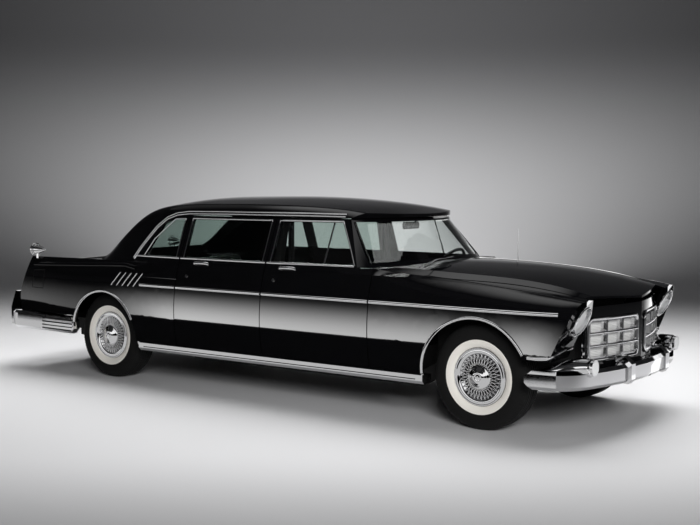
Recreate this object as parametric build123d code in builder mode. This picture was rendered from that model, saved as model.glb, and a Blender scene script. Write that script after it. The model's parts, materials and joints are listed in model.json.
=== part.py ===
from build123d import *
import os

os.makedirs("parts", exist_ok=True)

# Overall layout in millimetres: X forward, Y to the left side, Z up from the ground
WHEELBASE = 3797.0
FRONT_OVERHANG = 916.0
REAR_OVERHANG = 1446.0
FRONT_TRACK = 1535.0
REAR_TRACK = 1524.0
HALF_LENGTH = (WHEELBASE + FRONT_OVERHANG + REAR_OVERHANG) / 2
X_FRONT = HALF_LENGTH - FRONT_OVERHANG
X_REAR = X_FRONT - WHEELBASE
REACH = 2 * HALF_LENGTH
CUT_TOP = 2000.0
CUT_SIDE = 1200.0
CUT_OVER = 50.0

# Clearances and wall thicknesses
GAP = 8.0
FIT = 0.3
SKIN = 16.0
DOOR_T = 76.0
TUCK = 48.0
ROOF_T = 34.0
GLASS_T = 6.0
GLASS_SET = 12.0

# Heights that run the whole length of the body
SILL_BOTTOM = 300.0
SILL_TOP = 367.0
WIDEST_Z = 560.0
SPEAR_Z = 870.0
BELT_Z = 1110.0
DRIP_Z = 1474.0
ROOF_LOW = 1050.0
CABIN_BASE = 940.0
GLASS_LEAN = 0.4
FRONT_SKIRT_Z = 550.0

# Wheels and tyres
TYRE_R = 381.0
TYRE_HALF_W = 113.0
BEAD_R = 196.0
BEAD_HALF_W = 68.0
TREAD_HALF_W = 76.0
FLANK_R = 292.0
SHOULDER_R = 352.0
SHOULDER_HALF_W = 104.0
COVER_R = 207.0
SPINDLE_R = 22.0
HUB_R = 60.0
HUB_IN = 60.0
KINGPIN_IN = 95.0
KINGPIN_R = 12.0
KNUCKLE_R = 24.0
KNUCKLE_HALF = 100.0
ARM_T = 30.0
FRONT_ARCH_R = 424.0
FRONT_ARCH_AHEAD = 20.0
REAR_ARCH_R = 403.0
REAR_ARCH_AHEAD = 53.0


def fx(ahead):
    return X_FRONT + ahead


def rx(behind):
    return X_REAR - behind


# Panel lines along the length
X_A = fx(-873.0)
FRONT_DOOR_W = 1042.0
X_B = X_A - FRONT_DOOR_W
X_C = rx(-938.0)
HOOD_REAR = fx(-520.0)
HOOD_FRONT_Z = 906.0
LID_FRONT = rx(262.0)
LID_HALF_W = 752.0
LID_LOW_Z = 640.0
NOSE_TIP = fx(840.0)
CUT_FRONT = fx(900.0)
CUT_REAR = rx(1300.0)

# Lower body half sections: station, widest, width at the spear, crest, valley, shoulder, centre height
MID_ROW = (1000.0, 987.0, 937.0, 1063.0, 915.0, 1108.0, 800.0, 1116.0, 1128.0)
FRONT_ROWS = [
    (X_A, *MID_ROW),
    (fx(-470.0), 1000.0, 987.0, 905.0, 1056.0, 716.0, 1056.0, 640.0, 1094.0, 1148.0),
    (fx(0.0), 1000.0, 986.0, 885.0, 1031.0, 706.0, 1026.0, 630.0, 1076.0, 1130.0),
    (fx(420.0), 990.0, 974.0, 850.0, 996.0, 690.0, 990.0, 605.0, 1036.0, 1076.0),
    (fx(640.0), 958.0, 940.0, 815.0, 970.0, 676.0, 962.0, 580.0, 990.0, 1018.0),
    (NOSE_TIP, 880.0, 860.0, 770.0, 934.0, 660.0, 922.0, 540.0, 930.0, 938.0),
]
REAR_ROWS = [
    (X_C, *MID_ROW),
    (rx(-500.0), 1003.0, 990.0, 940.0, 1056.0, 905.0, 1090.0, 800.0, 1094.0, 1100.0),
    (rx(100.0), 1000.0, 988.0, 915.0, 1063.0, 856.0, 1046.0, 700.0, 1058.0, 1068.0),
    (rx(600.0), 985.0, 974.0, 904.0, 1060.0, 850.0, 1018.0, 700.0, 1034.0, 1048.0),
    (rx(1020.0), 950.0, 940.0, 892.0, 1056.0, 840.0, 978.0, 690.0, 994.0, 1008.0),
    (rx(1240.0), 930.0, 920.0, 884.0, 1054.0, 832.0, 948.0, 690.0, 960.0, 972.0),
]

# Cabin half sections: station, belt half width, drip half width and height, corner, crown height
CABIN_ROWS = [
    (fx(-860.0), 906.0, 650.0, 1436.0, 566.0, 1464.0, 1480.0),
    (fx(-1120.0), 912.0, 682.0, 1464.0, 602.0, 1508.0, 1538.0),
    (fx(-1500.0), 916.0, 736.0, 1478.0, 658.0, 1552.0, 1597.0),
    (fx(-2100.0), 918.0, 776.0, 1480.0, 698.0, 1572.0, 1628.0),
    (rx(-1150.0), 918.0, 784.0, 1480.0, 704.0, 1570.0, 1626.0),
    (rx(-630.0), 914.0, 778.0, 1464.0, 690.0, 1546.0, 1600.0),
    (rx(-400.0), 902.0, 768.0, 1424.0, 672.0, 1500.0, 1550.0),
    (rx(-170.0), 884.0, 750.0, 1330.0, 640.0, 1388.0, 1424.0),
    (rx(65.0), 856.0, 724.0, 1168.0, 590.0, 1210.0, 1232.0),
    (rx(250.0), 820.0, 700.0, 1070.0, 560.0, 1082.0, 1090.0),
]

# Screen half outlines by height: centre, knee and side end in plan
SCREEN_ROWS = [
    (BELT_Z + 2.0, fx(-745.0), fx(-945.0), 790.0, fx(-1034.0), 904.0),
    (DRIP_Z + 26.0, fx(-1009.0), fx(-1179.0), 592.0, fx(-1260.0), 672.0),
]


def save(builder, name):
    builder.part.label = name
    export_step(builder.part, f"parts/{name}.step")


def body_half(rows, inset):
    base = SILL_BOTTOM - (SKIN if inset > 0 else 0)
    with BuildPart() as half:
        for x, widest, spear_w, *upper in rows:
            crest_w, crest_z, valley_w, valley_z, shoulder_w, shoulder_z, centre_z = upper
            low = (-(widest - TUCK - inset), base)
            wide = (-(widest - inset), WIDEST_Z)
            spear = (-(spear_w - inset), SPEAR_Z)
            crest = (-(crest_w - inset), crest_z - inset)
            valley = (-(valley_w - inset), valley_z - inset)
            shoulder = (-(shoulder_w - inset), shoulder_z - inset)
            centre = (0, centre_z - inset)
            with BuildSketch(Plane.YZ.offset(x)):
                with BuildLine():
                    Line((0, base), low)
                    side = ThreePointArc(low, wide, spear)
                    TangentArc(spear, crest, tangent=side % 1)
                    Line(crest, valley)
                    Line(valley, shoulder)
                    TangentArc(centre, shoulder, tangent=(-1, 0))
                    Line(centre, (0, base))
                make_face()
        loft()
    return half.part


def cabin_half(inset):
    with BuildPart() as half:
        for x, belt_w, drip_w, drip_z, corner_w, corner_z, crown_z in CABIN_ROWS:
            base = (-(belt_w + GLASS_LEAN * (BELT_Z - CABIN_BASE) - inset), CABIN_BASE)
            drip = (-(drip_w - inset), drip_z)
            corner = (-(corner_w - inset / 2), corner_z - inset)
            crown = (0, crown_z - inset)
            with BuildSketch(Plane.YZ.offset(x)):
                with BuildLine():
                    Line((0, CABIN_BASE), base)
                    Line(base, drip)
                    top = TangentArc(crown, corner, tangent=(-1, 0))
                    TangentArc(corner, drip, tangent=top % 1)
                    Line(crown, (0, CABIN_BASE))
                make_face()
        loft()
    return half.part


def screen_half(inset):
    with BuildPart() as half:
        for z, centre_x, knee_x, knee_w, end_x, end_w in SCREEN_ROWS:
            centre = (centre_x - inset, 0)
            knee = (knee_x - inset * 0.6, -(knee_w - inset * 0.8))
            end = (end_x, -(end_w - inset))
            with BuildSketch(Plane.XY.offset(z)):
                with BuildLine():
                    front = TangentArc(centre, knee, tangent=(0, -1))
                    TangentArc(knee, end, tangent=front % 1)
                    Line(end, (end_x, 0))
                    Line((end_x, 0), centre)
                make_face()
        loft()
    return half.part


def side_cut(points, depth=REACH):
    with BuildPart() as cutter:
        with BuildSketch(Plane.XZ):
            with BuildLine():
                Polyline(*points, close=True)
            make_face()
        extrude(amount=depth)
    return cutter.part


def plan_cut(points):
    with BuildPart() as cutter:
        with BuildSketch(Plane.XY):
            with BuildLine():
                Polyline(*points, close=True)
            make_face()
        extrude(amount=REACH)
    return cutter.part


def both_sides(right):
    with BuildPart() as pair:
        add(right)
        mirror(about=Plane.XZ)
    return pair


def arch(x, radius):
    with BuildPart() as cutter:
        with BuildSketch(Plane.XZ):
            with Locations((x, TYRE_R)):
                Circle(radius)
        extrude(amount=REACH)
    return cutter.part


# Master surfaces of the right half, from which the panels are cut
front_skin = body_half(FRONT_ROWS, 0)
front_hollow = body_half(FRONT_ROWS, SKIN)
rear_skin = body_half(REAR_ROWS, 0)
rear_hollow = body_half(REAR_ROWS, SKIN)
door_rows = [(X_A, *MID_ROW), (X_C, *MID_ROW)]
door_skin = body_half(door_rows, 0)
door_hollow = body_half(door_rows, DOOR_T)
cabin_skin = cabin_half(0)
cabin_hollow = cabin_half(ROOF_T)
glass_out = cabin_half(GLASS_SET)
glass_in = cabin_half(GLASS_SET + GLASS_T)

# Front end: slanted lamp face in side view, swept back prow in plan
LAMP_FACE_TOP = (fx(770.0), 972.0)
LAMP_FACE_LOW = (fx(560.0), 505.0)
LAMP_FACE_FOOT_X = fx(540.0)
PROW = fx(838.0)
PROW_MID = (fx(778.0), 340.0)
PROW_END = (fx(672.0), 690.0)
PROW_FLARE = 400.0
FENDER_REAR_W = 903.0
VALLEY_REAR_W = 716.0
VALLEY_FRONT_W = 640.0

behind_lamp = side_cut([
    LAMP_FACE_TOP, LAMP_FACE_LOW, (LAMP_FACE_FOOT_X, 0), (X_B, 0), (X_B, CUT_TOP),
    (LAMP_FACE_TOP[0], CUT_TOP),
])
behind_wall = behind_lamp.moved(Location((-SKIN, 0, 0)))
fender_plan = plan_cut([
    (X_A + GAP / 2, -FENDER_REAR_W), (HOOD_REAR, -VALLEY_REAR_W - GAP / 2),
    (NOSE_TIP, -VALLEY_FRONT_W - GAP / 2), (NOSE_TIP, -CUT_SIDE), (X_A + GAP / 2, -CUT_SIDE),
])
fender_low = side_cut([
    (X_A - CUT_OVER, 0), (X_A - CUT_OVER, SILL_TOP + GAP), (X_FRONT, SILL_TOP + GAP),
    (X_FRONT, FRONT_SKIRT_Z), (CUT_FRONT, FRONT_SKIRT_Z), (CUT_FRONT, 0),
])
front_arch = arch(X_FRONT + FRONT_ARCH_AHEAD, FRONT_ARCH_R)

LAMP_Y = 752.0
LAMP_Z = 815.0
LAMP_HOLE_R = 98.0
LAMP_BORE_X = fx(400.0)
LAMP_BORE_L = 600.0
with BuildPart() as fender_right:
    add(front_skin)
    add(behind_lamp, mode=Mode.INTERSECT)
    add(front_hollow & behind_wall, mode=Mode.SUBTRACT)
    add(fender_plan, mode=Mode.INTERSECT)
    add(fender_low, mode=Mode.SUBTRACT)
    add(front_arch, mode=Mode.SUBTRACT)
    with BuildSketch(Plane.YZ.offset(LAMP_BORE_X)):
        with Locations((-LAMP_Y, LAMP_Z)):
            Circle(LAMP_HOLE_R)
    extrude(amount=LAMP_BORE_L, mode=Mode.SUBTRACT)
front_fenders = both_sides(fender_right.part)
save(front_fenders, "front_fenders")


def prow_region(ahead):
    with BuildPart() as region:
        with BuildSketch(Plane.XY):
            with BuildLine():
                ThreePointArc(
                    (PROW + ahead, 0), (PROW_MID[0] + ahead, -PROW_MID[1]),
                    (PROW_END[0] + ahead, -PROW_END[1]),
                )
                Polyline(
                    (PROW_END[0] + ahead, -PROW_END[1]), (X_A, -PROW_END[1] - PROW_FLARE), (X_A, 0),
                    (PROW + ahead, 0),
                )
            make_face()
        extrude(amount=REACH)
    return region.part


HOOD_EDGE = [
    (HOOD_REAR + GAP / 2, 0), (HOOD_REAR + GAP / 2, -VALLEY_REAR_W + GAP / 2),
    (NOSE_TIP, -VALLEY_FRONT_W + GAP / 2), (NOSE_TIP, 0),
]
hood_plan = plan_cut(HOOD_EDGE)
with BuildPart() as hood_right:
    add(front_skin)
    add(front_hollow, mode=Mode.SUBTRACT)
    add(hood_plan, mode=Mode.INTERSECT)
    add(prow_region(0), mode=Mode.INTERSECT)
    with BuildSketch(Plane.XY):
        Rectangle(2 * REACH, 2 * REACH)
    extrude(amount=HOOD_FRONT_Z, mode=Mode.SUBTRACT)

# Hood hinge: pins on arms from the cowl, ahead of the hood's rear edge
HINGE_AHEAD = 150.0
HOOD_HINGE_Z = 1114.0
HOOD_ARM_LOW = 940.0
HOOD_ARM_TOP = 972.0
HOOD_PIN_HALF = 32.0
HOOD_EAR = 24.0
HOOD_PIN_R = 5.0
HOOD_LUG_R = 9.0
HOOD_HINGE_W = 150.0
HOOD_LUG_T = 16.0
LUG_RISE = 16.0
hood_axis_x = HOOD_REAR + GAP / 2 + HINGE_AHEAD

# Cowl with the bulkhead behind the engine
FIREWALL = fx(-630.0)
FIREWALL_T = 20.0
FIREWALL_LOW = 520.0
FIREWALL_TOP = 1040.0
FIREWALL_HALF_W = 690.0
FIREWALL_CROWN_Z = 1105.0
FIREWALL_CROWN_W = 400.0
COWL_DROP = 30.0
cowl_plan = plan_cut([
    (X_A + GAP / 2, 0), (X_A + GAP / 2, -FENDER_REAR_W + GAP),
    (HOOD_REAR - GAP / 2, -VALLEY_REAR_W + GAP / 2), (HOOD_REAR - GAP / 2, 0),
])
with BuildPart() as cowl_right:
    add(front_skin)
    add(front_hollow, mode=Mode.SUBTRACT)
    add(cowl_plan, mode=Mode.INTERSECT)
    with BuildSketch(Plane.XY):
        Rectangle(2 * REACH, 2 * REACH)
    extrude(amount=ROOF_LOW - COWL_DROP, mode=Mode.SUBTRACT)
with BuildPart() as cowl:
    add(cowl_right.part)
    mirror(about=Plane.XZ)
    with BuildSketch(Plane.YZ.offset(FIREWALL)):
        with BuildLine():
            Polyline(
                (-FIREWALL_HALF_W, FIREWALL_LOW), (FIREWALL_HALF_W, FIREWALL_LOW),
                (FIREWALL_HALF_W, FIREWALL_TOP), (-FIREWALL_HALF_W, FIREWALL_TOP), close=True,
            )
        make_face()
    extrude(amount=FIREWALL_T)
    with BuildSketch(Plane.YZ.offset(FIREWALL)):
        with BuildLine():
            Polyline(
                (-FIREWALL_CROWN_W, FIREWALL_TOP), (FIREWALL_CROWN_W, FIREWALL_TOP),
                (FIREWALL_CROWN_W, FIREWALL_CROWN_Z), (-FIREWALL_CROWN_W, FIREWALL_CROWN_Z), close=True,
            )
        make_face()
    extrude(amount=FIREWALL_T)
    for side in (-1, 1):
        with BuildSketch(Plane.XZ.offset(side * HOOD_HINGE_W - HOOD_LUG_T / 2)):
            with BuildLine():
                Polyline(
                    (FIREWALL + FIREWALL_T / 2, HOOD_ARM_LOW), (FIREWALL + FIREWALL_T / 2, HOOD_ARM_TOP),
                    (hood_axis_x - HOOD_LUG_R, HOOD_ARM_TOP), (hood_axis_x - HOOD_LUG_R, HOOD_HINGE_Z),
                    (hood_axis_x + HOOD_LUG_R, HOOD_HINGE_Z), (hood_axis_x + HOOD_LUG_R, HOOD_ARM_LOW),
                    close=True,
                )
            make_face()
            with Locations((hood_axis_x, HOOD_HINGE_Z)):
                Circle(HOOD_LUG_R)
        extrude(amount=HOOD_LUG_T)
        with BuildSketch(Plane.XZ.offset(side * HOOD_HINGE_W - HOOD_PIN_HALF)):
            with Locations((hood_axis_x, HOOD_HINGE_Z)):
                Circle(HOOD_PIN_R)
        extrude(amount=2 * HOOD_PIN_HALF)
save(cowl, "cowl")
with BuildPart() as hood:
    add(hood_right.part)
    mirror(about=Plane.XZ)
    for side in (-1, 1):
        for ear in (-1, 1):
            with BuildSketch(Plane.XZ.offset(side * HOOD_HINGE_W + ear * HOOD_EAR - HOOD_LUG_T / 2)):
                with Locations((hood_axis_x, HOOD_HINGE_Z)):
                    Circle(HOOD_LUG_R)
                with Locations((hood_axis_x, HOOD_HINGE_Z)):
                    Rectangle(2 * HOOD_LUG_R, LUG_RISE, align=(Align.CENTER, Align.MIN))
            extrude(amount=HOOD_LUG_T)
        with BuildSketch(Plane.XZ.offset(side * HOOD_HINGE_W - HOOD_PIN_HALF - HOOD_LUG_T)):
            with Locations((hood_axis_x, HOOD_HINGE_Z)):
                Circle(HOOD_PIN_R + FIT)
        extrude(amount=2 * HOOD_PIN_HALF + 2 * HOOD_LUG_T, mode=Mode.SUBTRACT)
save(hood, "hood")

# Nose panel between the lamps with two grille openings
GRILLE_IN = 62.0
GRILLE_OUT = 616.0
GRILLE_LOW = 522.0
GRILLE_TOP = 815.0
GRILLE_CORNER = 40.0
NOSE_LOW = 480.0
GRILLE_D = 46.0
GRILLE_PROUD = 6.0
GRILLE_BAR = 16.0
GRILLE_FRAME = 24.0
CELLS = 3
nose_band = prow_region(0) - prow_region(-SKIN)
grille_band = prow_region(GRILLE_PROUD) - prow_region(GRILLE_PROUD - GRILLE_D)
grille_w = GRILLE_OUT - GRILLE_IN
grille_h = GRILLE_TOP - GRILLE_LOW
grille_mid = (-(GRILLE_IN + GRILLE_OUT) / 2, (GRILLE_LOW + GRILLE_TOP) / 2)
with BuildPart() as nose_right:
    with BuildSketch(Plane.YZ):
        with BuildLine():
            Polyline(
                (0, NOSE_LOW), (0, HOOD_FRONT_Z - GAP), (-VALLEY_FRONT_W + GAP / 2, HOOD_FRONT_Z - GAP),
                (-VALLEY_FRONT_W + GAP / 2, NOSE_LOW), close=True,
            )
        make_face()
        with Locations(grille_mid):
            RectangleRounded(grille_w, grille_h, GRILLE_CORNER, mode=Mode.SUBTRACT)
    extrude(amount=REACH)
    add(nose_band, mode=Mode.INTERSECT)
with BuildPart() as nose_panel:
    add(nose_right.part)
    mirror(about=Plane.XZ)
save(nose_panel, "nose_panel")
cell_w = (grille_w - 2 * FIT - 2 * GRILLE_FRAME - (CELLS - 1) * GRILLE_BAR) / CELLS
cell_h = (grille_h - 2 * FIT - 2 * GRILLE_FRAME - (CELLS - 1) * GRILLE_BAR) / CELLS
with BuildPart() as grille_right:
    with BuildSketch(Plane.YZ):
        with Locations(grille_mid):
            RectangleRounded(grille_w - 2 * FIT, grille_h - 2 * FIT, GRILLE_CORNER - FIT)
            with GridLocations(cell_w + GRILLE_BAR, cell_h + GRILLE_BAR, CELLS, CELLS):
                RectangleRounded(cell_w, cell_h, GRILLE_BAR, mode=Mode.SUBTRACT)
    extrude(amount=REACH)
    add(grille_band, mode=Mode.INTERSECT)
grille = both_sides(grille_right.part)
save(grille, "grille")

# Rear quarters: slanted tail, arch, lower edge
TAIL_TOP = (rx(1018.0), 1080.0)
TAIL_KNEE = (rx(1150.0), 720.0)
TAIL_FOOT_X = rx(1160.0)
ahead_of_tail = side_cut([
    TAIL_TOP, TAIL_KNEE, (TAIL_FOOT_X, 0), (X_B, 0), (X_B, CUT_TOP), (TAIL_TOP[0], CUT_TOP),
])
ahead_of_wall = ahead_of_tail.moved(Location((SKIN, 0, 0)))
rear_shell = (rear_skin & ahead_of_tail) - (rear_hollow & ahead_of_wall)
quarter_plan = plan_cut([
    (X_C - GAP / 2, -CUT_SIDE), (X_C - GAP / 2, -LID_HALF_W - GAP / 2),
    (CUT_REAR, -LID_HALF_W - GAP / 2), (CUT_REAR, -CUT_SIDE),
])
rear_arch = arch(X_REAR + REAR_ARCH_AHEAD, REAR_ARCH_R)
REAR_SKIRT_X = rx(345.0)
REAR_SKIRT_Z = 548.0
quarter_low = side_cut([
    (X_C + CUT_OVER, 0), (X_C + CUT_OVER, SILL_TOP + GAP), (REAR_SKIRT_X, SILL_TOP + GAP),
    (REAR_SKIRT_X, REAR_SKIRT_Z), (CUT_REAR, REAR_SKIRT_Z), (CUT_REAR, 0),
])
with BuildPart() as quarter_right:
    add(rear_shell)
    add(quarter_plan, mode=Mode.INTERSECT)
    add(quarter_low, mode=Mode.SUBTRACT)
    add(rear_arch, mode=Mode.SUBTRACT)
    add(cabin_hollow, mode=Mode.SUBTRACT)
quarter_panels = both_sides(quarter_right.part)
save(quarter_panels, "quarter_panels")

# Deck behind the rear window, running on inside as the parcel shelf, boot lid and tail panel
DECK_HALF_W = LID_HALF_W + GAP / 2 - FIT
DECK_FRONT = rx(-180.0)
deck_plan = plan_cut([
    (DECK_FRONT, 0), (DECK_FRONT, -DECK_HALF_W), (LID_FRONT + GAP / 2, -DECK_HALF_W),
    (LID_FRONT + GAP / 2, 0),
])
lid_plan = plan_cut([
    (LID_FRONT - GAP / 2, 0), (LID_FRONT - GAP / 2, -LID_HALF_W + GAP / 2),
    (CUT_REAR, -LID_HALF_W + GAP / 2), (CUT_REAR, 0),
])
with BuildPart() as deck_right:
    add(rear_shell)
    add(deck_plan, mode=Mode.INTERSECT)

# Boot lid hinges: arms under the deck carry pins, ears hang under the lid
LID_HINGE_BACK = 200.0
LID_HINGE_X = LID_FRONT - GAP / 2 - LID_HINGE_BACK
LID_HINGE_Z = 1021.0
LID_HINGE_W = 600.0
LID_PIN_R = 4.0
LID_LUG_R = 7.0
LID_ARM_LOW = 806.0
LID_ARM_TOP = 830.0
LID_ARM_AHEAD = 60.0
LID_ARM_ROOT = LID_FRONT + LID_ARM_AHEAD
LID_ARM_ROOT_L = 24.0
LID_ARM_ROOT_Z = 1040.0
with BuildPart() as deck:
    add(deck_right.part)
    mirror(about=Plane.XZ)
    for side in (-1, 1):
        with BuildSketch(Plane.XZ.offset(side * LID_HINGE_W - HOOD_LUG_T / 2)):
            with BuildLine():
                Polyline(
                    (LID_ARM_ROOT, LID_ARM_ROOT_Z), (LID_ARM_ROOT - LID_ARM_ROOT_L, LID_ARM_ROOT_Z),
                    (LID_ARM_ROOT - LID_ARM_ROOT_L, LID_ARM_TOP), (LID_HINGE_X + LID_LUG_R, LID_ARM_TOP),
                    (LID_HINGE_X + LID_LUG_R, LID_HINGE_Z), (LID_HINGE_X - LID_LUG_R, LID_HINGE_Z),
                    (LID_HINGE_X - LID_LUG_R, LID_ARM_LOW), (LID_ARM_ROOT, LID_ARM_LOW), close=True,
                )
            make_face()
            with Locations((LID_HINGE_X, LID_HINGE_Z)):
                Circle(LID_LUG_R)
        extrude(amount=HOOD_LUG_T)
        with BuildSketch(Plane.XZ.offset(side * LID_HINGE_W - HOOD_PIN_HALF)):
            with Locations((LID_HINGE_X, LID_HINGE_Z)):
                Circle(LID_PIN_R)
        extrude(amount=2 * HOOD_PIN_HALF)
save(deck, "deck")
with BuildPart() as lid_right:
    add(rear_shell)
    add(lid_plan, mode=Mode.INTERSECT)
    with BuildSketch(Plane.XY):
        Rectangle(2 * REACH, 2 * REACH)
    extrude(amount=LID_LOW_Z, mode=Mode.SUBTRACT)
with BuildPart() as boot_lid:
    add(lid_right.part)
    mirror(about=Plane.XZ)
    for side in (-1, 1):
        for ear in (-1, 1):
            with BuildSketch(Plane.XZ.offset(side * LID_HINGE_W + ear * HOOD_EAR - HOOD_LUG_T / 2)):
                with Locations((LID_HINGE_X, LID_HINGE_Z)):
                    Circle(LID_LUG_R)
                with Locations((LID_HINGE_X, LID_HINGE_Z)):
                    Rectangle(2 * LID_LUG_R, LUG_RISE, align=(Align.CENTER, Align.MIN))
            extrude(amount=HOOD_LUG_T)
        with BuildSketch(Plane.XZ.offset(side * LID_HINGE_W - HOOD_PIN_HALF - HOOD_LUG_T)):
            with Locations((LID_HINGE_X, LID_HINGE_Z)):
                Circle(LID_PIN_R + FIT)
        extrude(amount=2 * HOOD_PIN_HALF + 2 * HOOD_LUG_T, mode=Mode.SUBTRACT)
save(boot_lid, "boot_lid")
with BuildPart() as tail_right:
    add(rear_shell)
    add(lid_plan, mode=Mode.INTERSECT)
    with BuildSketch(Plane.XY.offset(LID_LOW_Z - GAP)):
        Rectangle(2 * REACH, 2 * REACH)
    extrude(amount=REACH, mode=Mode.SUBTRACT)
    with BuildSketch(Plane.XY):
        Rectangle(2 * REACH, 2 * REACH)
    extrude(amount=SILL_TOP + GAP, mode=Mode.SUBTRACT)

# Blank number plate holder on the tail panel with four bolt holes
PLATE_X = rx(1168.0)
PLATE_Z = 552.0
PLATE_W = 340.0
PLATE_H = 150.0
PLATE_HOLES = (177.8, 120.6)
PLATE_HOLE_R = 3.5
PLATE_SINK = 6.0
PLATE_BORE = 2 * SKIN + 30.0
with BuildPart() as tail_panel:
    add(tail_right.part)
    mirror(about=Plane.XZ)
    with BuildSketch(Plane.YZ.offset(PLATE_X)):
        with Locations((0, PLATE_Z)):
            Rectangle(PLATE_W, PLATE_H)
    extrude(amount=SKIN + PLATE_SINK)
    with BuildSketch(Plane.YZ.offset(PLATE_X)):
        with Locations((0, PLATE_Z)):
            with GridLocations(*PLATE_HOLES, 2, 2):
                Circle(PLATE_HOLE_R)
    extrude(amount=PLATE_BORE, mode=Mode.SUBTRACT)
save(tail_panel, "tail_panel")

# Doors: lower shell, window frame on the cabin surface, glass
DOOR_LOW = SILL_TOP + GAP
FRAME_TOP = DRIP_Z - GAP
A_LOW = fx(-1044.0)
A_TOP = fx(-1250.0)
FRAME_BAR = 42.0
FRAME_RAIL = 30.0
GLASS_RISE = 12.0
GLASS_LOW = BELT_Z + GLASS_RISE
GLASS_TOP = FRAME_TOP - FRAME_RAIL
DOOR_TOP = BELT_Z - GAP / 2
FRAME_ROOT = BELT_Z - FRAME_RAIL
DOOR_IN = MID_ROW[4] - DOOR_T
door_band = plan_cut([(X_A, -DOOR_IN), (X_C, -DOOR_IN), (X_C, -CUT_SIDE), (X_A, -CUT_SIDE)])
door_shell = (door_skin - door_hollow) & door_band
cabin_shell = cabin_skin - cabin_hollow
pane = glass_out - glass_in
front_door_rear, front_door_front = X_B + GAP / 2, X_A - GAP / 2
rear_door_rear, rear_door_front = X_C + GAP / 2, X_B - GAP / 2
FRONT_DOOR = dict(
    low=[
        (front_door_rear, DOOR_LOW), (front_door_front, DOOR_LOW),
        (front_door_front, DOOR_TOP), (front_door_rear, DOOR_TOP),
    ],
    frame=[
        (front_door_rear, FRAME_ROOT), (A_LOW, FRAME_ROOT), (A_LOW, BELT_Z), (A_TOP, FRAME_TOP),
        (front_door_rear, FRAME_TOP),
    ],
    glass=[
        (front_door_rear + FRAME_BAR, GLASS_LOW), (A_LOW - FRAME_BAR, GLASS_LOW),
        (A_TOP - FRAME_BAR, GLASS_TOP), (front_door_rear + FRAME_BAR, GLASS_TOP),
    ],
)
REAR_DOOR = dict(
    low=[
        (rear_door_rear, DOOR_LOW), (rear_door_front, DOOR_LOW),
        (rear_door_front, DOOR_TOP), (rear_door_rear, DOOR_TOP),
    ],
    frame=[
        (rear_door_rear, FRAME_ROOT), (rear_door_front, FRAME_ROOT),
        (rear_door_front, FRAME_TOP), (rear_door_rear, FRAME_TOP),
    ],
    glass=[
        (rear_door_rear + FRAME_BAR, GLASS_LOW), (rear_door_front - FRAME_BAR, GLASS_LOW),
        (rear_door_front - FRAME_BAR, GLASS_TOP), (rear_door_rear + FRAME_BAR, GLASS_TOP),
    ],
)


def shrink(points, amount):
    mid_x = sum(p[0] for p in points) / len(points)
    mid_z = sum(p[1] for p in points) / len(points)
    return [
        (x - amount if x > mid_x else x + amount, z - amount if z > mid_z else z + amount) for x, z in points
    ]


# Door hinges: two leaves with pins per door, in slots cut from the front inner corner
HINGE_BACK = 100.0
HINGE_W = 976.0
HINGE_PIN_R = 6.0
HINGE_LEAF_T = 14.0
HINGE_LEAF_R = 11.0
HINGE_SLOT = 26.0
HINGE_PIN_HALF = 40.0
HINGE_Z = (480.0, 740.0)
SLOT_CLEAR = 6.0
EYE_CLEAR = 2.0
LEAF_REACH = 110.0
BORE_OVER = 1.0


def make_door(shape, front_edge, label):
    axis_x = front_edge - HINGE_BACK
    with BuildPart() as right:
        add(door_shell & side_cut(shape["low"]))
        add(cabin_shell & side_cut(shape["frame"]))
        add(side_cut(shape["glass"]), mode=Mode.SUBTRACT)
        for z in HINGE_Z:
            with BuildSketch(Plane.XY.offset(z - HINGE_SLOT / 2)):
                with BuildLine():
                    Polyline(
                        (axis_x - HINGE_LEAF_R - SLOT_CLEAR, -DOOR_IN),
                        (axis_x - HINGE_LEAF_R - SLOT_CLEAR, -HINGE_W),
                        (axis_x - HINGE_LEAF_R, -HINGE_W - HINGE_LEAF_R - EYE_CLEAR),
                        (axis_x + HINGE_LEAF_R, -HINGE_W - HINGE_LEAF_R - EYE_CLEAR),
                        (front_edge + GAP, -HINGE_W + HINGE_LEAF_R), (front_edge + GAP, -DOOR_IN), close=True,
                    )
                make_face()
            extrude(amount=HINGE_SLOT, mode=Mode.SUBTRACT)
            with BuildSketch(Plane.XY.offset(z - HINGE_PIN_HALF - BORE_OVER)):
                with Locations((axis_x, -HINGE_W)):
                    Circle(HINGE_PIN_R + FIT)
            extrude(amount=2 * (HINGE_PIN_HALF + BORE_OVER), mode=Mode.SUBTRACT)
    save(right, f"{label}_right")
    with BuildPart() as left:
        add(right.part)
        mirror(about=Plane.XZ, mode=Mode.REPLACE)
    save(left, f"{label}_left")
    with BuildPart() as pane_right:
        add(pane & side_cut(shrink(shape["glass"], FIT)))
    save(pane_right, f"{label}_glass_right")
    with BuildPart() as pane_left:
        add(pane_right.part)
        mirror(about=Plane.XZ, mode=Mode.REPLACE)
    save(pane_left, f"{label}_glass_left")


make_door(FRONT_DOOR, front_door_front, "front_door")
make_door(REAR_DOOR, rear_door_front, "rear_door")

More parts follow.
